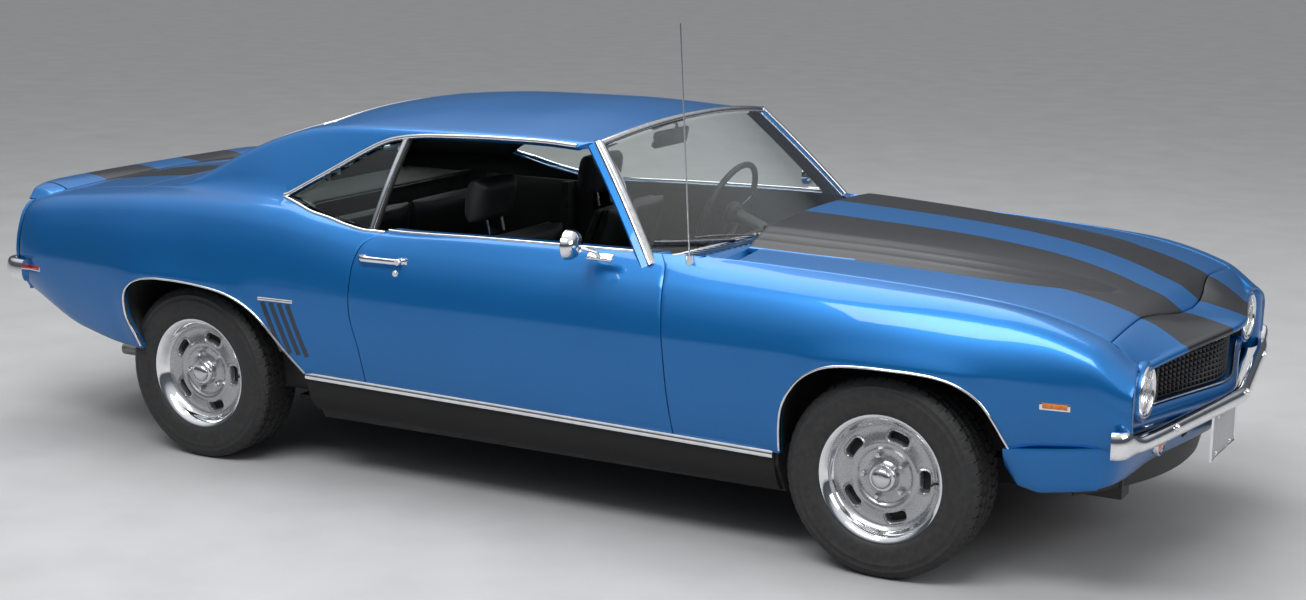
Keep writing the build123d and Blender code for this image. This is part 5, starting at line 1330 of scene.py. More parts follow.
class HARDTOP_OT_deck(bpy.types.Operator):
    """Build the deck panel, trunk lid and tail spoiler"""

    bl_idname = "hardtop.deck"
    bl_label = "Deck, trunk lid and spoiler"

    def execute(self, context):
        deck = rolled(*grid_mesh(deck_sheet(-1500.0, -1690.0, 1.0, 14)), 12.0)
        new_piece("deck_skin", *deck, "body", "paint", ("deck_panel",), "paint")
        lid = deck_sheet(-1697.0, -2206.0, 4.0, 34)
        rear = lid[-1].copy()
        rows = [lid]
        for back, down in ((8, 3), (13, 9), (15, 18), (15, 60)):
            row = rear.copy()
            row[:, 0] = rear[:, 0] - back + (tail_face_x(rear[:, 1]) - TAIL_X) * 0.6
            row[:, 2] -= down
            rows.append(row[None])
        mesh, slots = lined(grid_mesh(np.concatenate(rows), (-0.3, 0, 1)), 12.0, inward=(0.15, 0, -1))
        piece = new_piece("trunk_lid_skin", *mesh, "trunk_lid", ("striped_rear", "underseal"),
                          ("trunk_lid",), "paint")
        set_slots(piece, slots)
        self.spoiler()
        return {"FINISHED"}

    def section(self, y):
        """Closed section of the spoiler at a half width: up the front ramp and down the rear face."""
        share = np.clip(abs(y) / 735, 0, 1)
        nose_x, tail_x = -2124 - 6 * share, -2262 + 26 * share ** 2
        foot = float(deck_base(np.array([nose_x]), np.array([min(abs(y), 640)]))[0]) + 1
        rear = float(deck_base(np.array([-2200.0]), np.array([min(abs(y), 640)]))[0])
        if abs(y) > 645:
            drop = (abs(y) - 645) * 0.30
            foot, rear = foot - drop * 0.9, rear - drop
        lip = float(smooth_value([p[0] for p in SPOILER_EDGE], [p[1] for p in SPOILER_EDGE], abs(y)))
        t = np.linspace(0, 1, 12)
        top = [(nose_x + (tail_x + 8 - nose_x) * k, foot + (lip - foot) * (1 - (1 - k) ** 2.4)) for k in t]
        edge = [(tail_x + 3, lip - 1), (tail_x, lip - 6), (tail_x + 2, lip - 14)]
        under = [(-2216 + 8, rear - 16), (-2180, rear - 10), (-2140, foot - 12)]
        return np.array([(px, y, pz) for px, pz in top + edge + under])

    def loft(self, stations):
        """Skin through the spoiler's sections at the stations."""
        rings = np.array([self.section(y) for y in stations])
        return welded(*grid_mesh(np.concatenate((rings, rings[:, :1]), 1)), 0.05)

    def spoiler(self):
        """Three pieces: the middle on the lid, the ends on the quarter panels."""
        middle = self.loft(np.linspace(-642, 642, 64))
        new_piece("spoiler_skin", *middle, "trunk_lid", "striped_rear", ("rear_spoiler",), "paint")
        verts, faces = self.loft(np.linspace(648, 742, 14))
        close = np.clip((verts[:, 1] - 712) / 30, 0, 1)
        floor_z = np.interp(verts[:, 1], (648, 742), (918, 893))
        verts[:, 2] = verts[:, 2] * (1 - 0.8 * close) + floor_z * 0.8 * close
        ends = pair("spoiler_end", verts, faces, "body", "paint", slot="paint")
        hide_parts("spoiler_ends")


class HARDTOP_OT_tail(bpy.types.Operator):
    """Build the rear face and the tail lamps"""

    bl_idname = "hardtop.tail"
    bl_label = "Rear face and tail lamps"

    def execute(self, context):
        columns = np.linspace(-1, 1, 81)
        rows = []
        for z in np.linspace(548, 898, 34):
            y = columns * self.half_width(z)
            bulge = 8 * sin(pi * (z - 548) / 350)
            rows.append(np.stack((tail_face_x(y) - bulge, y, np.full_like(y, z)), -1))
        verts, faces = rolled(*grid_mesh(np.array(rows), (-1, 0, 0)), 14.0)
        new_piece("tail_skin", verts, faces, "body", "paint", ("tail_panel",), "paint")
        self.lamps()
        return {"FINISHED"}

    def half_width(self, z):
        """Half width of the body's rear end at a height."""
        column = SKIN.grid[2]
        a, b = SKIN.mark["sill"], SKIN.mark["edge"] + 1
        return float(np.interp(z, column[a:b, 1], column[a:b, 0])) - 3

    def lamps(self):
        """Wide lamps in bright frames, each with three lenses."""
        lenses, bright = [], []
        for low, high in ((306, 430), (436, 560), (566, 690)):
            y = np.linspace(low, high, 14)
            z = np.linspace(710, 796, 10)
            yy, zz = np.meshgrid(y, z, indexing="ij")
            edge = np.minimum(np.minimum(yy - low, high - yy), np.minimum(zz - 710, 796 - zz))
            face = np.stack((tail_face_x(yy) - 8 - 12 * np.clip(edge / 9, 0, 1) ** 0.5, yy, zz), -1)
            verts, faces = rolled(*grid_mesh(face, (-1, 0, 0)), 10.0)
            raised = verts[:, 0] < tail_face_x(verts[:, 1]) - 16
            verts[:, 0] -= np.sin((verts[:, 2] - 710) / 86 * pi * 9) * 0.8 * raised
            lenses.append((verts, faces))
        corners = np.array(((298, 703), (698, 703), (698, 803), (298, 803)), float)
        ring = []
        for k, (cy, cz) in enumerate(corners):
            inward = np.array((498, 753)) - (cy, cz)
            centre = np.array((cy, cz)) + np.sign(inward) * 9
            start = (pi, 1.5 * pi, 0, 0.5 * pi)[k]
            for a in np.linspace(start, start + pi / 2, 5):
                ring.append(centre + 9 * np.array((cos(a), sin(a))))
        ring = np.array(ring)
        ring = np.vstack([way(ring[i], ring[(i + 1) % len(ring)], step=16)[:-1] for i in range(len(ring))])
        path = np.column_stack((tail_face_x(ring[:, 0]) - 12, ring))
        bright.append(sweep(path, (-1, 0, 0), half_round(13, 9), closed=True))
        for y in (433, 563):
            bright.append(moved(soft_box((10, 6, 90), 2, 1), (float(tail_face_x(y)) - 18, y, 753)))
        made = pair("tail_lens", *merged(*lenses), "body", "red_lens")
        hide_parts("tail_lamps")
        pair("tail_lamp_frame", *merged(*bright), "body", "chrome")


BUMPER_FRONT = ((2158, 894), (2174, 890), (2192, 878), (2207, 852), (2215, 800), (2231, 745), (2251, 640),
                (2278, 450), (2300, 300), (2326, 120), (2337, 40), (2340, 0))
BUMPER_REAR = ((-2130, 908), (-2190, 903), (-2236, 880), (-2266, 830), (-2290, 740), (-2318, 580),
               (-2340, 380),
               (-2354, 180), (-2357, 80), (-2358, 0))


def bumper_bar(plan, z_low, z_high, forward, tip_low, tip_high):
    """Bright bar along a plan line, full in section, taller at its tips."""
    half = spline(plan, 16)
    line = np.vstack((half, (half * (1, -1))[::-1][1:]))
    t = np.gradient(line, axis=0)
    t /= np.linalg.norm(t, axis=1)[:, None]
    out = np.column_stack((-t[:, 1], t[:, 0]))
    if out[len(out) // 2, 0] * forward < 0:
        out = -out
    share = np.clip((np.abs(line[:, 1]) - 760) / 90, 0, 1) ** 1.5
    low = z_low + (tip_low - z_low) * share
    high = z_high + (tip_high - z_high) * share
    angles = np.linspace(-0.5 * pi, 0.5 * pi, 13)
    rings = []
    for a in angles:
        depth = -26 + 26 * np.cos(a) ** 0.55 if abs(a) < 1.57 else -26.0
        z = (low + high) / 2 + (high - low) / 2 * np.sin(a)
        rings.append(np.column_stack((line + out * depth, z)))
    rings = np.array(rings).transpose(1, 0, 2)
    back = rings[:, -2:0:-1].copy()
    back[:, :, :2] = (line - out * 34)[:, None, :]
    ring = np.concatenate((rings, back, rings[:, :1]), 1)
    n, m = ring.shape[:2]
    last = (n - 1) * m
    faces = quads(n, m) + [list(range(m - 1)), list(range(last, last + m - 1))[::-1]]
    bm = bmesh.new()
    made = [bm.verts.new(p) for p in ring.reshape(-1, 3)]
    for f in faces:
        bm.faces.new([made[i] for i in f])
    bmesh.ops.remove_doubles(bm, verts=bm.verts, dist=0.05)
    bmesh.ops.recalc_face_normals(bm, faces=bm.faces)
    bm.verts.index_update()
    verts = np.array([tuple(v.co) for v in bm.verts])
    faces = [[v.index for v in f.verts] for f in bm.faces]
    bm.free()
    return verts, faces


class HARDTOP_OT_bumpers(bpy.types.Operator):
    """Build the front bumper with its bolts and the rear one with its guards"""

    bl_idname = "hardtop.bumpers"
    bl_label = "Bumpers"

    def execute(self, context):
        front = bumper_bar(BUMPER_FRONT, 502, 550, 1, 498, 584)
        bolts = []
        for y in (-560, -10, 560):
            x = float(plan_x(BUMPER_FRONT, y))
            bolts.append(moved(lathe(((0, 5), (9, 4), (13, 0), (14, -5)), 20, axis="x"), (x + 1, y, 538)))
        new_piece("front_bumper_bar", *merged(front, *bolts), "body", "chrome", ("front_bumper",), "chrome")
        rear = bumper_bar(BUMPER_REAR, 606, 680, -1, 600, 684)
        guards = []
        for y in (-420, 420):
            x = float(plan_x(BUMPER_REAR, y))
            guards.append(moved(soft_box((26, 40, 104), 9, 3), (x + 12, y, 642)))
        new_piece("rear_bumper_bar", *merged(rear, *guards), "body", "chrome", ("rear_bumper",), "chrome")
        return {"FINISHED"}


def glass_sheet(verts, faces, wall=4.0):
    """Thin glass with two faces and an edge."""
    n = normals_of(np.asarray(verts, float), faces)
    outer, rim = rolled(verts, faces, wall, roll=0.2)
    inner = (np.asarray(verts, float) - n * wall, [list(f)[::-1] for f in faces])
    return welded(*merged((outer, rim), inner), near=0.05)


class HARDTOP_OT_glass(bpy.types.Operator):
    """Build the windshield, rear window and side glass"""

    bl_idname = "hardtop.glass"
    bl_label = "Glass"

    def execute(self, context):
        side = np.linspace(-0.975, 0.975, 60)[None, :]
        top = 1296 - 46 * np.abs(side) ** 2.2
        low = glass_foot(side) - 6
        z = low + (top - low) * np.linspace(0, 1, 26)[:, None]
        shield = glass_point(np.broadcast_to(side, z.shape), z)
        new_piece("windshield_glass", *glass_sheet(*grid_mesh(shield, (1, 0, 0.6))), "body", "glass",
                  ("windshield",), "glass", 60)
        edge = self.rear_outline()
        rows = np.arange(-1500, -890, 16.0)
        verts, faces = skin_patch(edge, SKIN.at, rows, SKIN.v)
        faces = facing(verts, faces, (0, 0, 1))
        sunk = whole(verts - normals_of(verts, faces) * 9, faces)
        new_piece("rear_window_glass", *glass_sheet(*sunk), "body", "glass", ("rear_window",), "glass", 60)
        self.side_glass()
        return {"FINISHED"}

    def rear_outline(self):
        """Edge of the rear window's left half on the unrolled surface."""
        edge = spline(BACKLIGHT_EDGE[::-1], 14)
        side = np.column_stack((edge[:, 0], SKIN.width(edge[:, 0], edge[:, 1] + 10)))
        crown = skin_v("crown")
        return joined(side, way((-899, side[-1, 1]), (-899, crown)),
                      way((-899, crown), (-1492, crown), step=20),
                      way((-1492, crown), (-1492, side[0, 1])))

    def side_glass(self):
        """Quarter window up, door glass wound down in its slot."""
        outline = joined(side_line(QUARTER_WINDOW_REAR, 14, "edge", "rail"),
                         way((-486, SKIN.height([-486], [1240], "edge", "rail")[0]),
                             (-553, SKIN.height([-553], [926], "shoulder", "edge")[0])),
                         side_line(BELT_LINE[:6], 14, "shoulder", "edge")[::-1])
        lean = np.array(((910.0, 772.0), (1250.0, 640.0)))

        def place(u, v):
            z = SKIN.at(u, v)[:, 2]
            k = (z - lean[0, 0]) / (lean[1, 0] - lean[0, 0])
            y = lean[0, 1] + (lean[1, 1] - lean[0, 1]) * k + 12 * k * (1 - k) * 4 * 0.5
            return np.column_stack((u, y - 8, z))

        verts, faces = skin_patch(outline, place, np.arange(-960, -470, 20.0), SKIN.v)
        faces = facing(verts, faces, (0, 1, 0.2))
        made = pair("quarter_glass", *glass_sheet(verts, faces), "body", "glass")
        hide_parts("quarter_windows")
        x = np.linspace(-455, 470, 30)
        z = np.linspace(640, 932, 8)
        xx, zz = np.meshgrid(x, z, indexing="ij")
        yy = 800 - (zz - 765) ** 2 * 0.0006 - np.clip(zz - 765, 0, 999) * 0.13
        pair("door_glass_pane", *glass_sheet(*grid_mesh(np.stack((xx, yy, zz), -1), (0, 1, 0))),
             "door_{side}",
             "glass", ("door_glass_{side}",), "glass")


class HARDTOP_OT_brightwork(bpy.types.Operator):
    """Build the mouldings, pillars, rockers, side louvres and markers"""

    bl_idname = "hardtop.brightwork"
    bl_label = "Bright trim and pillars"

    def execute(self, context):
        trim = context.scene.hardtop_trim
        wide, tall = trim.arch_width / MM, trim.sill_height / MM
        for name, arch in ARCHES.items():
            line = spline(arch, 11)
            foot = np.interp(line[:, 0], (-1600, -800, 1085, 1760, 1900), (402, 392, 364, 474, 486))
            line = line[line[:, 1] > foot - 2]
            p = arch_flare(SKIN.at(line[:, 0], SKIN.height(line[:, 0], line[:, 1])))
            lip = sweep(p + (0, 1.5, 0), (0, 1, 0), half_round(wide, 5.5, 7, 9))
            pair(f"arch_moulding_{name}", *lip, "body", "chrome")
        x = np.linspace(-800, 1060, 60)
        z = np.interp(x, (-805, 1055), (379, 350)) + 4
        y = np.interp(x, (-805, 0, 1055), (858, 850, 850)) + 1
        sill = sweep(np.column_stack((x, y, z)), (0, 1, 0.15), half_round(tall, 7, 7, 6))
        pair("sill_moulding", *sill, "body", "chrome")
        self.rocker(x)
        self.windows()
        self.pillars()
        self.vents()
        self.markers()
        return {"FINISHED"}

    def rocker(self, x):
        """Black-out rocker strip below the moulding, its near-black also painted shade for the shadow under
        the sill.
        """
        rows = []
        for down, inward in ((0, 0), (12, 1), (60, 14), (100, 34), (126, 60), (130, 90)):
            z = np.interp(x, (-805, 1055), (372, 346)) - down
            y = np.interp(x, (-805, 0, 1055), (856, 848, 848)) - inward
            rows.append(np.column_stack((x, y, z)))
        verts, faces = rolled(*grid_mesh(np.array(rows), (0, 1, -0.4)), 10)
        pair("rocker_skin", verts, faces, "body", "dark")

    def windows(self):
        """Drip rail, belt moulding and rear window surround."""
        top = side_line(WINDOW_TOP, 14, "edge", "rail")
        rear = side_line(QUARTER_WINDOW_REAR, 14, "edge", "rail")[::-1]
        line = joined(top[::-1], rear)
        p = SKIN.at(line[:, 0], line[:, 1])
        drip = sweep(p + (0, 2, 3), (0, 0.8, 0.5), half_round(15, 6, 7, 4))
        pair("window_moulding", *drip, "body", "chrome")
        belt = side_line(BELT_LINE, 12)
        p = SKIN.at(belt[:, 0], belt[:, 1])
        pair("belt_moulding_rear", *sweep(p + (0, -2, 2), (0, 0.5, 0.9), half_round(12, 4.5, 7, 4)), "body",
             "chrome")
        line = mark_line("edge", -476, 560)
        p = SKIN.at(line[:, 0], line[:, 1])
        pair("belt_moulding_door", *sweep(p + (0, -3, 2), (0, 0.4, 0.9), half_round(12, 4.5, 7, 4)),
             "door_{side}",
             "chrome")
        seal = sweep(p + (0, -14, -1), (0, 0, 1), half_round(14, 3, 6, 8))
        pair("belt_seal", *seal, "door_{side}", "rubber")
        edge = spline(BACKLIGHT_EDGE, 14)
        left = SKIN.at(edge[:, 0], SKIN.width(edge[:, 0], edge[:, 1]))
        top_line = self.over_roof(-905.0, np.linspace(500, -500, 40))
        bottom = self.over_roof(-1490.0, np.linspace(-560, 560, 40))
        ring = np.vstack((top_line[::-1], left, bottom[::-1], (left * (1, -1, 1))[::-1]))
        keep = [0]
        for i in range(1, len(ring)):
            if np.linalg.norm(ring[i] - ring[keep[-1]]) > 6:
                keep.append(i)
        surround = sweep(ring[keep] - (0, 0, 2), (-0.35, 0, 0.94), half_round(13, 5, 7, 6), closed=True)
        new_piece("rear_window_moulding", *surround, "body", "chrome")

    def over_roof(self, x, y):
        """Line across the roof at X."""
        line = SKIN.at(np.full_like(y, x), SKIN.width(np.full_like(y, x), np.abs(y)))
        line[:, 1] = y
        return line

    def pillars(self):
        """Windshield pillars, their bright covers, and the window posts."""
        z = np.linspace(906, 1262, 26)
        edge = glass_point(np.full_like(z, 0.985), z)
        body = sweep(edge + (-16, 8, -6), (0.35, 1, 0.2),
                     ((-30, -34), (-30, 2), (-22, 9), (16, 9), (22, 2), (22, -34)))
        pair("pillar_skin", *body, "body", "paint")
        cover = sweep(edge + (4, 6, 4), (0.75, 0.35, 0.56), half_round(34, 7, 9, 6))
        pair("pillar_moulding", *cover, "body", "polished")
        side = np.linspace(-0.985, 0.985, 70)
        top = glass_point(side, 1300 - 44 * np.abs(side) ** 2.2, 3)
        new_piece("windshield_top_moulding", *sweep(top, (0.7, 0, 0.7), half_round(24, 6, 8, 6)), "body",
                  "polished")
        foot = glass_point(side, glass_foot(side), 3)
        new_piece("windshield_foot_moulding", *sweep(foot, (0.7, 0, 0.7), half_round(18, 5, 8, 6)), "body",
                  "polished")
        inner = sweep(edge + (-34, -24, -10), (0.2, -1, 0), ((-22, -10), (-16, 8), (16, 8), (22, -10)))
        pair("pillar_lining", *inner, "body", "headliner")
        post = []
        for t in np.linspace(0, 1, 18):
            px, pz = -553 + 67 * t, 915 + 322 * t
            post.append((px, 778 - 134 * t + 10 * sin(pi * t), pz))
        pair("window_post", *sweep(np.array(post), (0.05, 1, 0.3), half_round(22, 7, 8, 10)), "body",
             "chrome")
        rubber = np.array(post) + (15, -4, 0)
        pair("window_post_seal", *sweep(rubber, (0.05, 1, 0.3), half_round(9, 5, 6, 10)), "body", "rubber")

    def vents(self):
        """Four raised louvres in a dark blue of painted shade, with a bright cap ahead of each rear wheel."""
        slots = []
        for k in range(4):
            top_x, foot_x = -948 + 36 * k, -884 + 34 * k
            top_z, foot_z = 646, 468 - 4 * k
            t = np.linspace(0, 1, 22)
            x, z = top_x + (foot_x - top_x) * t, top_z + (foot_z - top_z) * t
            y = arch_flare(SKIN.at(x, SKIN.height(x, z)))[:, 1]
            path = np.column_stack((x, y + 0.5, z))
            slots.append(sweep(path, (0, 1, 0), ((-9, -6), (-9, 1), (-5, 4.2), (3, 1.8), (9, 0.3), (9, -6))))
        x = np.linspace(-962, -812, 18)
        z = np.full_like(x, 658.0)
        y = arch_flare(SKIN.at(x, SKIN.height(x, z)))[:, 1]
        cap = sweep(np.column_stack((x, y + 1, z)), (0, 1, 0.1), half_round(14, 5, 7, 5))
        pair("side_louvres", *merged(*slots), "body", "louvre")
        pair("side_louvre_cap", *cap, "body", "chrome")

    def markers(self):
        """Small side lamps front and rear."""
        for name, x0, x1, z0, key in (("front", 1930, 2020, 632, "amber_lens"),
                                      ("rear", -2150, -2072, 651, "red_lens")):
            x = np.linspace(x0, x1, 12)
            y = SKIN.at(x, SKIN.height(x, np.full_like(x, z0)))[:, 1]
            path = np.column_stack((x, y, np.full_like(x, float(z0))))
            lens = sweep(path[1:-1], (0, 1, 0), half_round(17, 4.5, 7, 4))
            rim = sweep(path, (0, 1, 0), half_round(25, 2.2, 6, 4))
            pair(f"marker_lens_{name}", *lens, "body", key)
            pair(f"marker_frame_{name}", *rim, "body", "chrome")


VALANCE_PLAN = ((1818, 852), (1900, 850), (2000, 844), (2080, 832), (2130, 808), (2160, 766), (2178, 690),
                (2192, 600), (2206, 500), (2224, 400), (2250, 250), (2272, 120), (2284, 40), (2286, 0))
VALANCE_FOOT = ((1818, 420), (1860, 366), (1927, 352), (2080, 376), (2200, 400), (2290, 404))


class HARDTOP_OT_nose(bpy.types.Operator):
    """Build the grille, headlamps, valance, chin spoiler and plate"""

    bl_idname = "hardtop.nose"
    bl_label = "Grille, lamps and valance"

    def execute(self, context):
        self.surround()
        self.grille()
        self.lamps()
        self.valance()
        self.plate()
        return {"FINISHED"}

    def surround(self):
        """Painted sill and bright strip under the grille, and the painted cheeks outside the lamps."""
        y = np.linspace(-690, 690, 110)
        dip = 26 * (1 - np.abs(y) / 690)
        lower = []
        for z, back in ((592, 90), (590, 34), (584, 26), (572, 20), (560, 20), (540, 26), (516, 44)):
            lower.append(np.stack((header_front(y) - back, y, z - dip), -1))
        sill = rolled(*grid_mesh(np.array(lower), (1, 0, 0.1)), 8)
        new_piece("grille_sill", *sill, "body", "paint", slot="paint")
        strip = []
        for z, back in ((593, 36), (597, 33), (600, 36)):
            strip.append(np.stack((header_front(y[14:-14]) - back, y[14:-14], z - dip[14:-14]), -1))
        new_piece("grille_strip", *rolled(*grid_mesh(np.array(strip), (1, 0, 0.3)), 5), "body", "polished")
        cheeks = []
        for z in np.linspace(520, 738, 22):
            cheek = []
            for px, py in ((2189, 800), (2186, 776), (2181, 752), (2172, 738), (2140, 734)):
                py_z = py - 8 + 8 * sin(pi * (z - 520) / 218)
                crown = 738 - 24 * max(0.0, py - 738) / 62
                cheek.append((px, py_z, 520 + (z - 520) * (crown - 528) / 218))
            cheeks.append(cheek)
        verts, faces = grid_mesh(np.array(cheeks, float), (1, 0.2, 0))
        pair("lamp_cheek", *rolled(verts, faces, 6), "body", "paint")

    def grille(self):
        """Crossed bars, vee shaped in plan, before a near-black wall and roof of painted shade that stand for
        the dark opening.
        """
        def plane(y):
            return header_front(y) - 66

        y = np.linspace(-528, 528, 70)
        bars = []
        for t in np.linspace(0.06, 0.96, 8):
            z = 596 - 26 * (1 - np.abs(y) / 690) + (header_edge_z(y) - 620) * t
            path = np.stack((plane(y), y, z), -1)
            bars.append(sweep(path, (1, 0, 0), ((-2.4, -16), (-2.4, 6), (0, 9), (2.4, 6), (2.4, -16))))
        for place in np.linspace(-520, 520, 40):
            z = np.array((572.0, 660.0, 736.0))
            path = np.stack((np.full(3, float(plane(place)) - 1), np.full(3, place), z), -1)
            bars.append(sweep(path, (1, 0, 0), ((-1.8, -16), (-1.8, 5), (0, 8), (1.8, 5), (1.8, -16))))
        new_piece("grille_mesh", *merged(*bars), "body", "black_gloss", ("grille",), "black_plastic")
        # Wall and roof behind the bars: near-black painted shade for the dark inside the grille.
        yy = np.linspace(-700, 700, 60)
        wall = np.array([np.stack((plane(yy) - 26, yy, np.full_like(yy, z)), -1) for z in (520.0, 600.0,
                                                                                           700.0, 752.0)])
        new_piece("grille_shade_wall", *grid_mesh(wall, (1, 0, 0)), "body", "dark")
        roof = np.array([np.stack((plane(yy) + back, yy, header_edge_z(yy) - 14), -1) for back in (-30, 0,
                                                                                                   44)])
        new_piece("grille_shade_roof", *grid_mesh(roof, (0, 0, -1)), "body", "dark")
        frame = []
        for sign in (-1, 1):
            z = np.linspace(600, 738, 6)
            path = np.stack((np.full(6, 2150.0), np.full(6, sign * 534.0), z), -1)
            frame.append(sweep(path, (1, 0, 0), ((-4, -20), (-4, 34), (4, 34), (4, -20))))
        new_piece("grille_ends", *merged(*frame), "body", "black_satin")

    def lamps(self):
        """Headlamps: bright ring, curved lens with flutes, bowl and bulb, set in a painted bucket."""
        y0, z0, face = 634.0, 653.0, 2177.0
        rings = (("lamp_bucket", ((79, 4), (82, 6), (86, 6), (91, 2), (94, -6), (94, -55)), "paint"),
                 ("lamp_ring", ((66, 1), (68, 7), (71, 10), (76, 11), (80, 8), (82, 2), (82, -20)), "chrome"),
                 ("lamp_bowl", [(67 * sin(a), -42 * cos(a) - 2) for a in np.linspace(0.05, pi / 2, 16)],
                  "reflector"),
                 ("lamp_bulb", ((0, -10), (7, -12), (9, -20), (7, -32), (5, -42)), "chrome"))
        for name, profile, key in rings:
            pair(name, *moved(lathe(profile, 64, axis="x"), (face, y0, z0)), "body", key)
        radii, angles = np.linspace(0, 68, 26), np.arange(72) * 2 * pi / 72
        r, a = np.meshgrid(radii, np.append(angles, 0), indexing="ij")
        py, pz = r * np.cos(a), r * np.sin(a)
        flute = 0.8 * np.sin(py / 3.2) * (np.abs(pz) < 38) * np.minimum(1, (68 - r) / 12)
        lens = np.stack((face + 12 * (1 - (r / 68) ** 2) + flute, y0 + py, z0 + pz), -1)
        verts, faces = welded(*grid_mesh(lens, (1, 0, 0)), 0.02)
        made = pair("lamp_lens", *glass_sheet(verts, facing(verts, faces, (1, 0, 0)), 2.4), "body",
                    "lamp_glass")
        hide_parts("headlamps")

    def valance(self):
        """Panel under the bumper with its air slot, lamps and chin spoiler."""
        half = spline(VALANCE_PLAN, 14)
        line = np.vstack((half, (half * (1, -1))[::-1][1:]))
        along = np.gradient(line, axis=0)
        along /= np.linalg.norm(along, axis=1)[:, None]
        inward = np.column_stack((along[:, 1], -along[:, 0]))
        inward[inward[:, 0] > 0] *= -1
        inward = np.where(np.abs(line[:, 1:]) > 820, np.column_stack((0 * line[:, 0], -np.sign(line[:, 1]))),
                          inward)
        top = np.interp(line[:, 0], (1812, 2162, 2190), (478, 520, 514))
        low = np.interp(line[:, 0], *zip(*VALANCE_FOOT))
        ahead = np.clip((700 - np.abs(line[:, 1])) / 300, 0, 1)
        rows = []
        for t in np.linspace(0, 1, 8):
            offset = 4 + (26 + 24 * ahead) * t ** 1.5
            z = top + (low - top) * t
            rows.append(np.column_stack((line + inward * offset[:, None], z)))
        skin = rolled(*grid_mesh(np.array(rows), (1, 0, -0.2)), 8)
        new_piece("valance_skin", *skin, "body", "paint", ("front_valance",), "paint")
        chin = []
        for t in np.linspace(0, 1, 6):
            y = np.linspace(-600, 600, 60)
            x = 2196 - 196 * np.clip(np.abs(y) / 600, 0, 1) ** 2.2 - 14 * t
            z = np.full_like(y, 402 - 112 * t)
            chin.append(np.stack((x - 22 * sin(t * 1.3), y, z), -1))
        blade = rolled(*grid_mesh(np.array(chin), (1, 0, -0.2)), 5)
        new_piece("chin_spoiler", *blade, "body", "black_satin", ("air_dam",), "black_plastic")
        # The slot is a near-black box, painted shade for the opening under the bumper.
        slot = moved(soft_box((20, 620, 42), 8, 2), (float(header_front(300)) - 44, 0, 462))
        new_piece("air_slot_shade", *slot, "body", "dark")
        for name, radius, key in (("park_lens", 36, "amber_lens"), ("park_ring", 41, "chrome")):
            profile = ((0, 12), (20, 10), (radius - 5, 5), (radius - 3, -4)) if key == "amber_lens" else (
                (radius - 4, 6), (radius, 8), (radius + 3, 4), (radius + 3, -8))
            lamp = moved(lathe(profile, 40, axis="x"), (float(header_front(470)) - 30, 470, 462))
            pair(name, *lamp, "body", key)

    def plate(self):
        """Blank plate in a bright frame, its grey darkened as painted shade for the shadow under the bumper.
        """
        sheet = moved(soft_box((3, 304, 150), 1.4, 2), (2268, 0, 405))
        new_piece("front_plate_blank", *sheet, "body", "plate", ("front_plate",), "plate")
        corners = [(2270, -152, 332), (2270, 152, 332), (2270, 152, 478), (2270, -152, 478)]
        ring = way(*[np.array(c, float) for c in corners], np.array(corners[0], float), step=30)[:-1]
        keep = [i for i in range(len(ring)) if np.linalg.norm(ring[i] - ring[i - 1]) > 1]
        new_piece("plate_frame", *sweep(ring[keep], (1, 0, 0), half_round(9, 4, 6, 3), closed=True), "body",
                  "chrome")
        bolts = [moved(lathe(((0, 5), (6, 4), (8, 0)), 14, axis="x"), (2270, y, z))
                 for y in (-88.9, 88.9) for z in (344.7, 465.3)]
        new_piece("plate_bolts", *merged(*bolts), "body", "chrome")


# Wheel disc, from the trim ring in to the cap. Columns: radius, outward
DISC_PROFILE = np.array(((174, 55), (168, 50), (160, 46), (148, 45), (118, 50), (106, 54), (96, 52), (86, 46),
                         (72, 45), (56, 48), (48, 50)), float)
TYRE_GROOVES = (-58.0, -20.0, 20.0, 58.0)


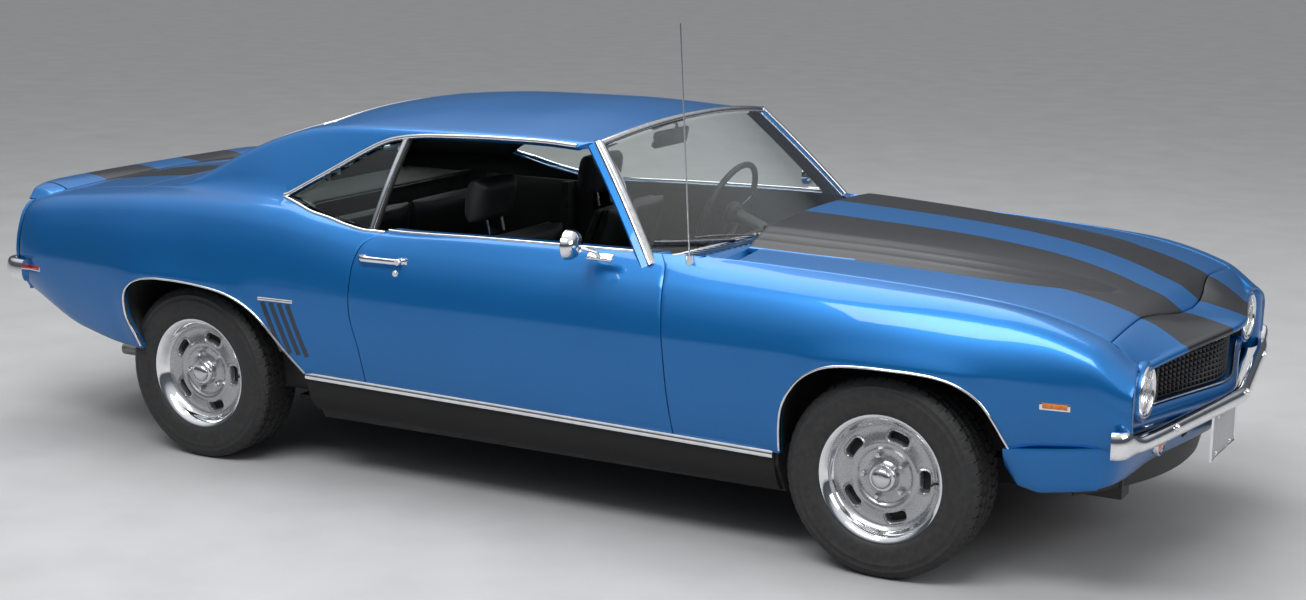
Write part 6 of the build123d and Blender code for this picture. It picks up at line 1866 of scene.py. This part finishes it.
class HARDTOP_OT_wheels(bpy.types.Operator):
    """Build the four wheels and tyres"""

    bl_idname = "hardtop.wheels"
    bl_label = "Wheels and tyres"

    def execute(self, context):
        settings = context.scene.hardtop_wheels
        disc, disc_shade_slots = self.disc(settings.slots)
        tyre = self.tyre(settings.tread_blocks)
        ring = lathe(((172, 56), (176, 60), (181, 70), (190, 82), (199, 91), (206, 93), (208, 88), (206, 78)),
                     96)
        barrel = lathe(((176, 52), (186, 30), (188, -70), (200, -86), (206, -90)), 72)
        cap_radius = settings.cap_radius / MM
        cap = lathe(((cap_radius + 4, 46), (cap_radius + 3, 60), (cap_radius, 72), (cap_radius - 5, 77),
                     (cap_radius - 12, 78), (cap_radius - 14, 84), (cap_radius - 20, 90), (14, 93), (0, 94)),
                     56)
        nuts = []
        for k in range(settings.slots):
            a = 2 * pi * k / settings.slots + pi / 5
            nuts.append(moved(lathe(((0, 66), (7, 65), (10, 60), (10, 44)), 6),
                              (70 * cos(a), 0, 70 * sin(a))))
        # Near-black disc closing the back of the wheel: painted shade for the dark inside the wheel. The
        # valve stem is black rubber.
        back = lathe(((0, 20), (120, 20), (176, 30)), 48)
        valve = moved(lathe(((0, 30), (3, 29), (4, 20), (4, -6)), 12), (164, 46, 0))
        for end, axle_x in AXLE_X.items():
            for side, sign in SIDES:
                place = (axle_x, sign * TRACK_HALF, TYRE_RADIUS)

                def made(name, mesh, look, replaces=(), slot=None):
                    verts, faces = mesh if sign > 0 else mirrored(*mesh)
                    return new_piece(f"{name}_{end}_{side}", np.asarray(verts) + place, faces,
                                     f"wheel_{end}_{side}", look, replaces, slot, 32)

                # The disc's second finish is near-black painted shade on the slot floors.
                piece = made("wheel_disc", disc, ("wheel_paint", "dark"), (f"rim_{end}_{side}",), "wheel")
                set_slots(piece, disc_shade_slots)
                made("trim_ring", ring, "chrome")
                made("wheel_barrel", barrel, "steel")
                made("wheel_cap", merged(cap, *nuts), "polished")
                made("brake_shade", merged(back, valve), "dark")
                made("tyre_skin", tyre, "tyre", (f"tyre_{end}_{side}",), "tyre")
        return {"FINISHED"}

    def disc(self, slots):
        """Pressed disc with long rounded slots between the spokes, the slot floors in near-black painted
        shade.
        """
        around, count = 360, 62
        radii = np.linspace(DISC_PROFILE[0, 0], DISC_PROFILE[-1, 0], count)
        base = smooth_value(DISC_PROFILE[::-1, 0], DISC_PROFILE[::-1, 1], radii)
        angle = np.arange(around) * 2 * pi / around
        r, a = np.meshgrid(radii, angle, indexing="ij")
        local = (a + pi / slots) % (2 * pi / slots) - pi / slots
        across, along = np.abs(r - 135), np.abs(local) * r
        reach = np.hypot(np.maximum(across - 3.0, 0), np.maximum(along - 22.0, 0)) - 11.0
        depth = -22 * np.clip(0.5 - reach / 4.0, 0, 1) + 3.2 * np.exp(-((reach - 5.5) / 3.2) ** 2)
        y = base[:, None] + depth
        verts = np.stack((r * np.cos(a), y, r * np.sin(a)), -1).reshape(-1, 3)
        faces, shade_marks = [], []
        for i in range(count - 1):
            for j in range(around):
                k = (j + 1) % around
                faces.append([i * around + j, i * around + k, (i + 1) * around + k, (i + 1) * around + j])
                # Slot floors take the painted shade that stands in for the openings.
                shade_marks.append(1 if reach[i, j] < -1.5 else 0)
        return (verts, facing(verts, faces, (0, 1, 0))), shade_marks

    def tyre(self, blocks):
        """Carcass with ribbed sidewalls and a blocked tread."""
        side = [(196, 86), (203, 91), (206, 93), (210, 93), (212, 95), (232, 100), (256, 102.5), (272, 102.6),
                (274, 103.4), (277, 103.4), (279, 102.2), (292, 100), (294, 100.8), (297, 100.6), (299, 98.4),
                (308, 94), (316, 87)]
        across = sorted(set([-80.0, -72.0, -40.0, 0.0, 40.0, 72.0, 80.0] +
                            [g + d for g in TYRE_GROOVES for d in (-5.0, -4.0, 4.0, 5.0)]))
        profile = [(r, -y) for r,
                   y in side] + [(TYRE_RADIUS - 0.5 * (abs(v) / 80) ** 4 * 6, v) for v in across]
        profile += [(r, y) for r, y in side[::-1]]
        start, stop = len(side), len(side) + len(across)
        around = blocks * 8
        angle = np.arange(around) * 2 * pi / around
        verts = []
        for k, (r, v) in enumerate(profile):
            radius = np.full(around, float(r))
            if start <= k < stop:
                if any(abs(v - g) < 4.5 for g in TYRE_GROOVES):
                    radius -= 7.5
                else:
                    lean = (v / 80.0) * 2 + (2 if int((v + 100) // 38) % 2 else 0)
                    phase = (np.arange(around) + lean) % 8
                    radius -= np.where(phase < 1.0, 6.0, 0) * (abs(v) > 8)
            elif k in (start - 1, start - 2, stop, stop + 1):
                radius -= np.where(np.arange(around) % 8 < 1, 3.0, 0)
            verts.append(np.stack((radius * np.cos(angle), np.full(around, v), radius * np.sin(angle)), 1))
        verts = np.array(verts)
        faces = []
        for i in range(len(profile) - 1):
            for j in range(around):
                k = (j + 1) % around
                faces.append([i * around + j, (i + 1) * around + j, (i + 1) * around + k, i * around + k])
        verts = verts.reshape(-1, 3)
        probe = faces[(start + 3) * around]
        a, b, c = verts[probe[0]], verts[probe[1]], verts[probe[2]]
        if np.cross(b - a, c - a) @ (a * (1, 0, 1)) < 0:
            faces = [f[::-1] for f in faces]
        return verts, faces


def pad(width, length, thick, pleats=0, crown=0.35, steps=(44, 40), border=46.0):
    """Crowned cushion lying flat: X along, Y across, Z up, with sewn channels along X."""
    nu, nv = steps
    u = np.sin(np.linspace(-pi / 2, pi / 2, nu))
    v = np.sin(np.linspace(-pi / 2, pi / 2, nv))
    uu, vv = np.meshgrid(u, v, indexing="ij")
    round_off = (1 - np.abs(uu) ** 7) ** 0.5 * (1 - np.abs(vv) ** 7) ** 0.5
    swell = 1 + crown * (1 - uu ** 2) * (1 - vv ** 2)
    top = thick / 2 * round_off * swell
    x = uu * length / 2 * (1 - 0.02 * (1 - np.abs(vv) ** 2) * (np.abs(uu) > 0.98))
    y = vv * width / 2
    if pleats:
        inner = (np.abs(x) < length / 2 - border) & (np.abs(y) < width / 2 - border)
        span = width - 2 * border
        phase = (y + span / 2) / span * pleats
        channel = np.abs(np.sin(pi * phase)) ** 0.5
        top = top - np.where(inner, 5.5 * (1 - channel), 0)
        edge = np.minimum(np.abs(np.abs(x) - (length / 2 - border)) + 1e3 * (np.abs(y) > width / 2 - border),
                          np.abs(np.abs(y) - (width / 2 - border)) + 1e3 * (np.abs(x) > length / 2 - border))
        top = top - 5 * np.exp(-(edge / 5.0) ** 2)
    upper = np.stack((x, y, top), -1)
    lower = np.stack((x, y, -thick / 2 * round_off), -1)
    return welded(*merged(grid_mesh(upper), grid_mesh(lower, (0, 0, -1))), near=0.02)


def tilted(mesh, place, angle):
    """Mesh turned about Y and moved."""
    return moved(mesh, place, Matrix.Rotation(radians(angle), 4, "Y"))


class HARDTOP_OT_cabin(bpy.types.Operator):
    """Build the seats, dashboard, steering wheel and console"""

    bl_idname = "hardtop.cabin"
    bl_label = "Cabin"

    def execute(self, context):
        self.seats(context.scene.hardtop_cabin.pleats)
        self.dash()
        self.wheel()
        self.floor()
        return {"FINISHED"}

    def seats(self, pleats):
        """Front bucket seats, rear bench, shelf and side linings."""
        for side, sign in SIDES:
            y = sign * 388.0
            cushion = tilted(pad(478, 480, 120, pleats), (85, y, 392), -6)
            back = tilted(pad(440, 505, 96, pleats), (-238, y, 664), -68)
            rest = tilted(pad(246, 150, 84, 0, 0.5, (26, 24)), (-306, y, 1004), -80)
            for name, mesh in (("seat_cushion", cushion), ("seat_back", back), ("headrest", rest)):
                piece = new_piece(f"{name}_{side}", *mesh, "body", "vinyl", (), "vinyl", 60)
            posts = [sweep(np.array(((-284, y + d, 880), (-292, y + d, 920), (-300, y + d, 960))), (1, 0, 0),
                           oval(11, 11)) for d in (-48, 48)]
            shell = tilted(soft_box((500, 446, 26), 12, 3), (-282, y, 664), -68)
            base = moved(soft_box((400, 400, 60), 10, 2), (80, y, 312))
            rails = [moved(soft_box((420, 26, 34), 5, 2), (80, y + d, 272)) for d in (-170, 170)]
            new_piece(f"seat_frame_{side}", *merged(shell, base, *rails), "body", "dash")
            new_piece(f"headrest_posts_{side}", *merged(*posts), "body", "chrome")
        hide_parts("front_seats")
        for side, sign in SIDES:
            cushion = tilted(pad(560, 430, 120, pleats), (-760, sign * 292, 418), 6)
            back = tilted(pad(560, 450, 100, pleats), (-990, sign * 292, 668), -78)
            for name, mesh in (("rear_cushion", cushion), ("rear_back", back)):
                new_piece(f"{name}_{side}", *mesh, "body", "vinyl", (), "vinyl", 60)
        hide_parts("rear_seat")
        shelf = moved(soft_box((330, 1240, 12), 5, 2), (-1240, 0, 918))
        new_piece("parcel_shelf", *shelf, "body", "dash")
        lining = []
        for x in np.linspace(-1080, -560, 14):
            lining.append([(x, 742, z) for z in np.linspace(300, 900, 12)])
        pair("rear_side_lining", *rolled(*grid_mesh(np.array(lining, float), (0, -1, 0)), 14), "body", "dash")

    def dash(self):
        """Padded top, instrument pods, glove box and radio."""
        profile = np.array(((700, 890), (660, 903), (600, 908), (556, 902), (530, 884), (520, 862),
                            (524, 846),
                            (548, 834), (542, 760), (560, 700), (620, 672), (690, 672)), float)
        fine = spline(profile, 14)
        y = np.linspace(-688, 688, 60)
        points = np.array([[(x - 26 * (abs(v) / 688) ** 2, v, z) for x, z in fine] for v in y])
        new_piece("dash_pad", *rolled(*grid_mesh(points, (-1, 0, 0.4)), 10), "body", "dash", ("dashboard",),
                  "dash")
        turn = Matrix.Rotation(pi, 4, "Z")
        pod = lathe([(82 + 6 * cos(t), 10 * sin(t)) for t in np.linspace(-1.5, 1.5, 7)] + [(78, -30)], 44,
                    axis="x")
        ring = lathe(((66, 0), (70, 4), (74, 0), (74, -8)), 44, axis="x")
        dial = lathe(((0, -4), (66, -4), (68, 0)), 44, axis="x")
        mark = moved(soft_box((2, 3, 12), 0.5, 1), (0, 0, 54))
        hand = moved(soft_box((1.6, 3, 44), 0.5, 1), (0, 0, 20))
        pods, rings, dials = [], [], []
        for centre in (286, 454):
            pods.append(moved(pod, (526, centre, 800), turn))
            rings.append(moved(ring, (532, centre, 800), turn))
            dials.append(moved(dial, (532, centre, 800), turn))
            for k in range(9):
                rings.append(moved(mark, (526, centre, 800), Matrix.Rotation(radians(-210 + k * 30), 4, "X")))
            rings.append(moved(hand, (524, centre, 800), Matrix.Rotation(radians(-60), 4, "X")))
        new_piece("instrument_pods", *merged(*pods), "body", "dash")
        new_piece("instrument_rings", *merged(*rings), "body", "chrome")
        new_piece("instrument_dials", *merged(*dials), "body", "black_gloss")
        box = moved(soft_box((8, 330, 110), 5, 2), (541, -400, 768))
        radio = moved(soft_box((14, 190, 62), 5, 2), (538, 60, 778))
        new_piece("glove_box_lid", *merged(box, radio), "body", "black_gloss")
        knob = lathe(((0, 16), (9, 15), (11, 10), (12, 0)), 18, axis="x")
        places = ((530, -10, 778), (530, 130, 778), (538, 180, 850), (538, -250, 770))
        new_piece("dash_knobs", *merged(*[moved(knob, place, turn) for place in places]), "body", "chrome")

    def wheel(self):
        """Steering wheel: gripped rim, three spokes, horn pad and column."""
        centre, fall = np.array((262.0, 370.0, 905.0)), radians(22)
        aim = np.array((cos(fall), 0, -sin(fall)))
        up = np.array((sin(fall), 0, cos(fall)))
        count = 120
        a = np.arange(count) * 2 * pi / count
        line = centre + 188 * (np.cos(a)[:, None] * np.array((0, 1, 0)) + np.sin(a)[:, None] * up)
        verts, faces = sweep(line, line - centre, oval(23, 23, 12), closed=True)
        verts = verts.reshape(count, 12, 3)
        grip = 1 + 0.05 * np.cos(np.arange(count) * 2 * pi / count * 40)
        verts = line[:, None] + (verts - line[:, None]) * grip[:, None, None]
        new_piece("steering_rim", verts.reshape(-1, 3), faces, "steering_wheel", "dash", ("steering_wheel",),
                  "dash")
        spokes = []
        for angle in (radians(8), radians(172), radians(270)):
            out = cos(angle) * np.array((0, 1, 0)) + sin(angle) * up
            path = np.array([centre + out * r + aim * (26 - 22 * (r / 180) ** 2) for r in np.linspace(30, 182,
                                                                                                      12)])
            spokes.append(sweep(path, -aim, ((-17, -2), (-15, 2), (15, 2), (17, -2))))
        new_piece("steering_spokes", *merged(*spokes), "steering_wheel", "polished")
        hub = lathe(((0, 12), (30, 10), (42, 2), (46, -10), (44, -26), (30, -40), (26, -90)), 40, axis="x")
        hub = moved(hub, turn=Matrix.Rotation(pi, 4, "Z"))
        hub = moved(hub, centre + aim * 14, Matrix.Rotation(fall, 4, "Y"))
        new_piece("horn_pad", *hub, "steering_wheel", "dash")
        column = sweep(np.array([centre + aim * d for d in (60, 140, 240, 320)]), (0, 1, 0), oval(56, 56, 24))
        new_piece("steering_column_cover", *column, "body", "dash")
        shaft = sweep(np.array([centre + aim * d for d in (40, 300, 540)]), (0, 1, 0), oval(30, 30, 20))
        new_piece("steering_shaft", *shaft, "steering_wheel", "steel")

    def floor(self):
        """Carpet over the floor and tunnel, console with its lever, and pedals."""
        x = np.linspace(-590, 716, 40)
        across = np.array(((-748, 300), (-742, 272), (-700, 264), (-176, 264), (-156, 300), (-112, 402),
                           (-96, 408),
                           (96, 408), (112, 402), (156, 300), (176, 264), (700, 264), (742, 272), (748, 300)),
                           float)
        fine = [way(across[i], across[i + 1], step=26)[:-1] for i in range(len(across) - 1)]
        fine = np.vstack(fine + [across[-1:]])
        rows = np.array([np.column_stack((np.full(len(fine), v), fine)) for v in x])
        new_piece("carpet", *grid_mesh(rows), "body", "carpet")
        console = moved(soft_box((620, 170, 60), 16, 3), (170, 0, 432))
        lever = sweep(np.array(((250, 0, 456), (238, 0, 520), (222, 0, 590))), (1, 0, 0), oval(12, 12))
        knob = moved(lathe([(22 * sin(t), 22 * cos(t)) for t in np.linspace(0, pi, 14)], 28, axis="z"),
                     (220, 0, 600))
        new_piece("console", *console, "body", "dash")
        new_piece("shift_lever", *merged(lever, knob), "body", "chrome")
        pedals = [tilted(soft_box((10, 62, 84), 4, 2), (640, y, 400), 35) for y in (240, 340, 452)]
        new_piece("pedals", *merged(*pedals), "body", "rubber")
        arms = [sweep(np.array(((650, y, 430), (668, y, 520), (664, y, 640))), (0, 1, 0), oval(12, 10, 8))
                for y in (240, 340, 452)]
        new_piece("pedal_arms", *merged(*arms), "body", "steel")
        glass = tilted(soft_box((6, 226, 52), 3, 2), (206, 0, 1216), 12)
        cover = tilted(soft_box((20, 236, 62), 9, 3), (218, 0, 1216), 12)
        stem = sweep(np.array(((226, 0, 1226), (242, 0, 1256), (236, 0, 1288))), (0, 1, 0), oval(12, 8))
        new_piece("inside_mirror", *merged(cover, stem), "body", "black_satin")
        new_piece("inside_mirror_glass", *glass, "body", "mirror_glass")


class HARDTOP_OT_fittings(bpy.types.Operator):
    """Build the mirrors, wheel wells and engine bay, and finish the chassis nodes"""

    bl_idname = "hardtop.fittings"
    bl_label = "Mirrors, wells and chassis"

    def execute(self, context):
        self.mirrors()
        self.wells()
        self.engine_bay()
        for key, names in (("underseal",
                            ("floor_pan", "firewall", "hinge_pillars", "trunk_floor", "trunk_sides")),
                           ("black_satin", ("aprons", "radiator_support", "front_subframe")),
                           ("iron", ("rear_axle", "knuckle_left", "knuckle_right")),
                           ("steel", ("exhaust", "fuel_tank")), ("engine", ("engine",)),
                           ("chrome", ("antenna",))):
            for name in names:
                mesh = frame["nodes"][name].data
                mesh.materials.clear()
                mesh.materials.append(FINISHES[key])
        return {"FINISHED"}

    def mirrors(self):
        """Bright outside mirrors on the doors."""
        t = np.linspace(0, pi / 2, 12)
        bowl = lathe([(54 * sin(a) ** 0.8, 40 * cos(a)) for a in t] + [(55, -4), (52, -7)], 48, axis="x")
        pane = lathe(((0, -4), (30, -4.4), (51, -5)), 40, axis="x")
        head, glass = (moved((verts * (1, 1.16, 0.92), faces), (352, 928, 976),
                             Matrix.Rotation(radians(-8), 4, "Z")) for verts, faces in (bowl, pane))
        stem = sweep(spline(((424, 858, 932), (416, 870, 948), (398, 892, 958), (376, 914, 966),
                             (366, 924, 972)), 8),
                     (0, 0, 1), oval(22, 13, 14))
        foot = moved(soft_box((98, 30, 14), 6, 3), (424, 852, 930), Matrix.Rotation(radians(-38), 4, "X"))
        pair("mirror_head", *merged(head, stem, foot), "door_{side}", "chrome", ("mirror_{side}",), "chrome")
        pair("mirror_glass", *glass, "door_{side}", "mirror_glass")

    def wells(self):
        """Dark liners inside the wheel arches."""
        for name, inner in (("front", 500.0), ("rear", 538.0)):
            line = spline(ARCHES[name], 22)
            p = SKIN.at(line[:, 0], SKIN.height(line[:, 0], line[:, 1]))
            centre = np.array((AXLE_X[name], TYRE_RADIUS))
            away = (line - centre) / np.linalg.norm(line - centre, axis=1)[:, None]
            rows = []
            for t in np.linspace(0, 1, 8):
                y = p[:, 1] - 12 + (inner - p[:, 1] + 12) * t
                out = line + away * (10 + 14 * sin(pi * t))
                rows.append(np.column_stack((out[:, 0], y, out[:, 1])))
            liner = grid_mesh(np.array(rows), (0, 0, -1))
            last = rows[-1]
            hub = np.array((centre[0], inner, centre[1] + 40))
            flat = [last + (hub - last) * t for t in np.linspace(0, 0.72, 6)]
            wall = grid_mesh(np.array(flat), (0, 1, 0))
            pair(f"wheel_well_{name}", *merged(liner, wall), "body", "underseal")

    def engine_bay(self):
        """Air cleaner, rocker covers, radiator and battery, seen with the hood up."""
        cleaner = moved(lathe(((0, 62), (150, 60), (172, 52), (176, 44), (176, 14), (168, 4), (60, 0)), 60,
                              axis="z"),
                        (1240, 0, 796))
        wing = moved(lathe(((0, 16), (9, 14), (11, 0)), 16, axis="z"), (1240, 0, 858))
        new_piece("air_cleaner", *merged(cleaner, wing), "body", "chrome")
        cover = soft_box((500, 120, 76), 18, 3)
        covers = [moved(cover, (1240, sign * 218, 790), Matrix.Rotation(radians(-sign * 22), 4, "X"))
                  for sign in (-1, 1)]
        new_piece("rocker_covers", *merged(*covers), "body", "chrome")
        fins = [moved(soft_box((44, 2.5, 250), 0.8, 1), (1990, y, 610)) for y in np.linspace(-280, 280, 71)]
        tanks = [moved(soft_box((64, 610, 46), 14, 3), (1990, 0, z)) for z in (478, 742)]
        cap = moved(lathe(((0, 18), (24, 16), (30, 6), (28, 0)), 24, axis="z"), (1990, 160, 764))
        new_piece("radiator", *merged(*fins, *tanks), "body", "black_satin")
        new_piece("radiator_cap", *cap, "body", "chrome")
        case = moved(soft_box((250, 170, 180), 8, 3), (1900, 390, 560))
        posts = [moved(lathe(((0, 24), (8, 22), (9, 0)), 14, axis="z"), (1900 + d, 390, 650)) for d in (-80,
                                                                                                        80)]
        new_piece("battery", *merged(case, *posts), "body", "black_gloss")
        hose = spline(((1480, 60, 770), (1640, 120, 800), (1800, 190, 790), (1960, 210, 752)), 18)
        new_piece("radiator_hose", *sweep(hose, (0, 1, 0), oval(44, 44, 16)), "body", "rubber")
        blade = moved(soft_box((6, 66, 170), 2, 1), (0, 0, 112), Matrix.Rotation(radians(24), 4, "Z"))
        fan = [moved(blade, (1700, 0, 560), Matrix.Rotation(2 * pi * k / 5, 4, "X")) for k in range(5)]
        new_piece("cooling_fan", *merged(*fan), "body", "polished")


CAMERA = {"place": (3759.0, -6498.0, 2131.0), "yaw": 29.04, "pitch": 14.21, "roll": 0.36, "focal_px": 2044.0,
          "centre_v": 394.0}
PHOTO_WIDTH, PHOTO_HEIGHT = 1306, 600
SENSOR_WIDTH = 36.0

STEPS = ("finishes", "shell", "fenders", "doors", "hood", "header", "cowl", "deck", "tail", "bumpers", "nose",
         "brightwork", "glass", "wheels", "cabin", "fittings", "stage")
SETTINGS = (("hardtop_paint", PaintSettings), ("hardtop_wheels", WheelSettings),
            ("hardtop_trim", TrimSettings),
            ("hardtop_cabin", CabinSettings))


class HARDTOP_PT_panel(bpy.types.Panel):
    """Buttons for every step, and the settings"""

    bl_idname = "HARDTOP_PT_panel"
    bl_label = "Two-door Hardtop"
    bl_space_type = "VIEW_3D"
    bl_region_type = "UI"
    bl_category = "Hardtop"

    def draw(self, context):
        layout = self.layout
        for name, _ in SETTINGS:
            box = layout.box()
            settings = getattr(context.scene, name)
            for key in settings.__annotations__:
                box.prop(settings, key)
        column = layout.column(align=True)
        for step in STEPS:
            column.operator("hardtop." + step)


CLASSES = (PaintSettings, WheelSettings, TrimSettings, CabinSettings, HARDTOP_OT_finishes, HARDTOP_OT_shell,
           HARDTOP_OT_fenders, HARDTOP_OT_doors, HARDTOP_OT_hood, HARDTOP_OT_header, HARDTOP_OT_cowl,
           HARDTOP_OT_deck, HARDTOP_OT_tail, HARDTOP_OT_bumpers, HARDTOP_OT_nose,
           HARDTOP_OT_brightwork, HARDTOP_OT_glass, HARDTOP_OT_wheels, HARDTOP_OT_cabin, HARDTOP_OT_fittings,
           HARDTOP_OT_stage, HARDTOP_PT_panel)


def register():
    """Registers the classes and the settings."""
    for cls in CLASSES:
        bpy.utils.register_class(cls)
    for name, cls in SETTINGS:
        setattr(bpy.types.Scene, name, PointerProperty(type=cls))


def unregister():
    """Removes the settings and the classes."""
    for name, _ in SETTINGS:
        delattr(bpy.types.Scene, name)
    for cls in reversed(CLASSES):
        bpy.utils.unregister_class(cls)


def main():
    """Builds the car step by step."""
    register()
    for step in STEPS:
        getattr(bpy.ops.hardtop, step)()


if __name__ == "__main__":
    main()
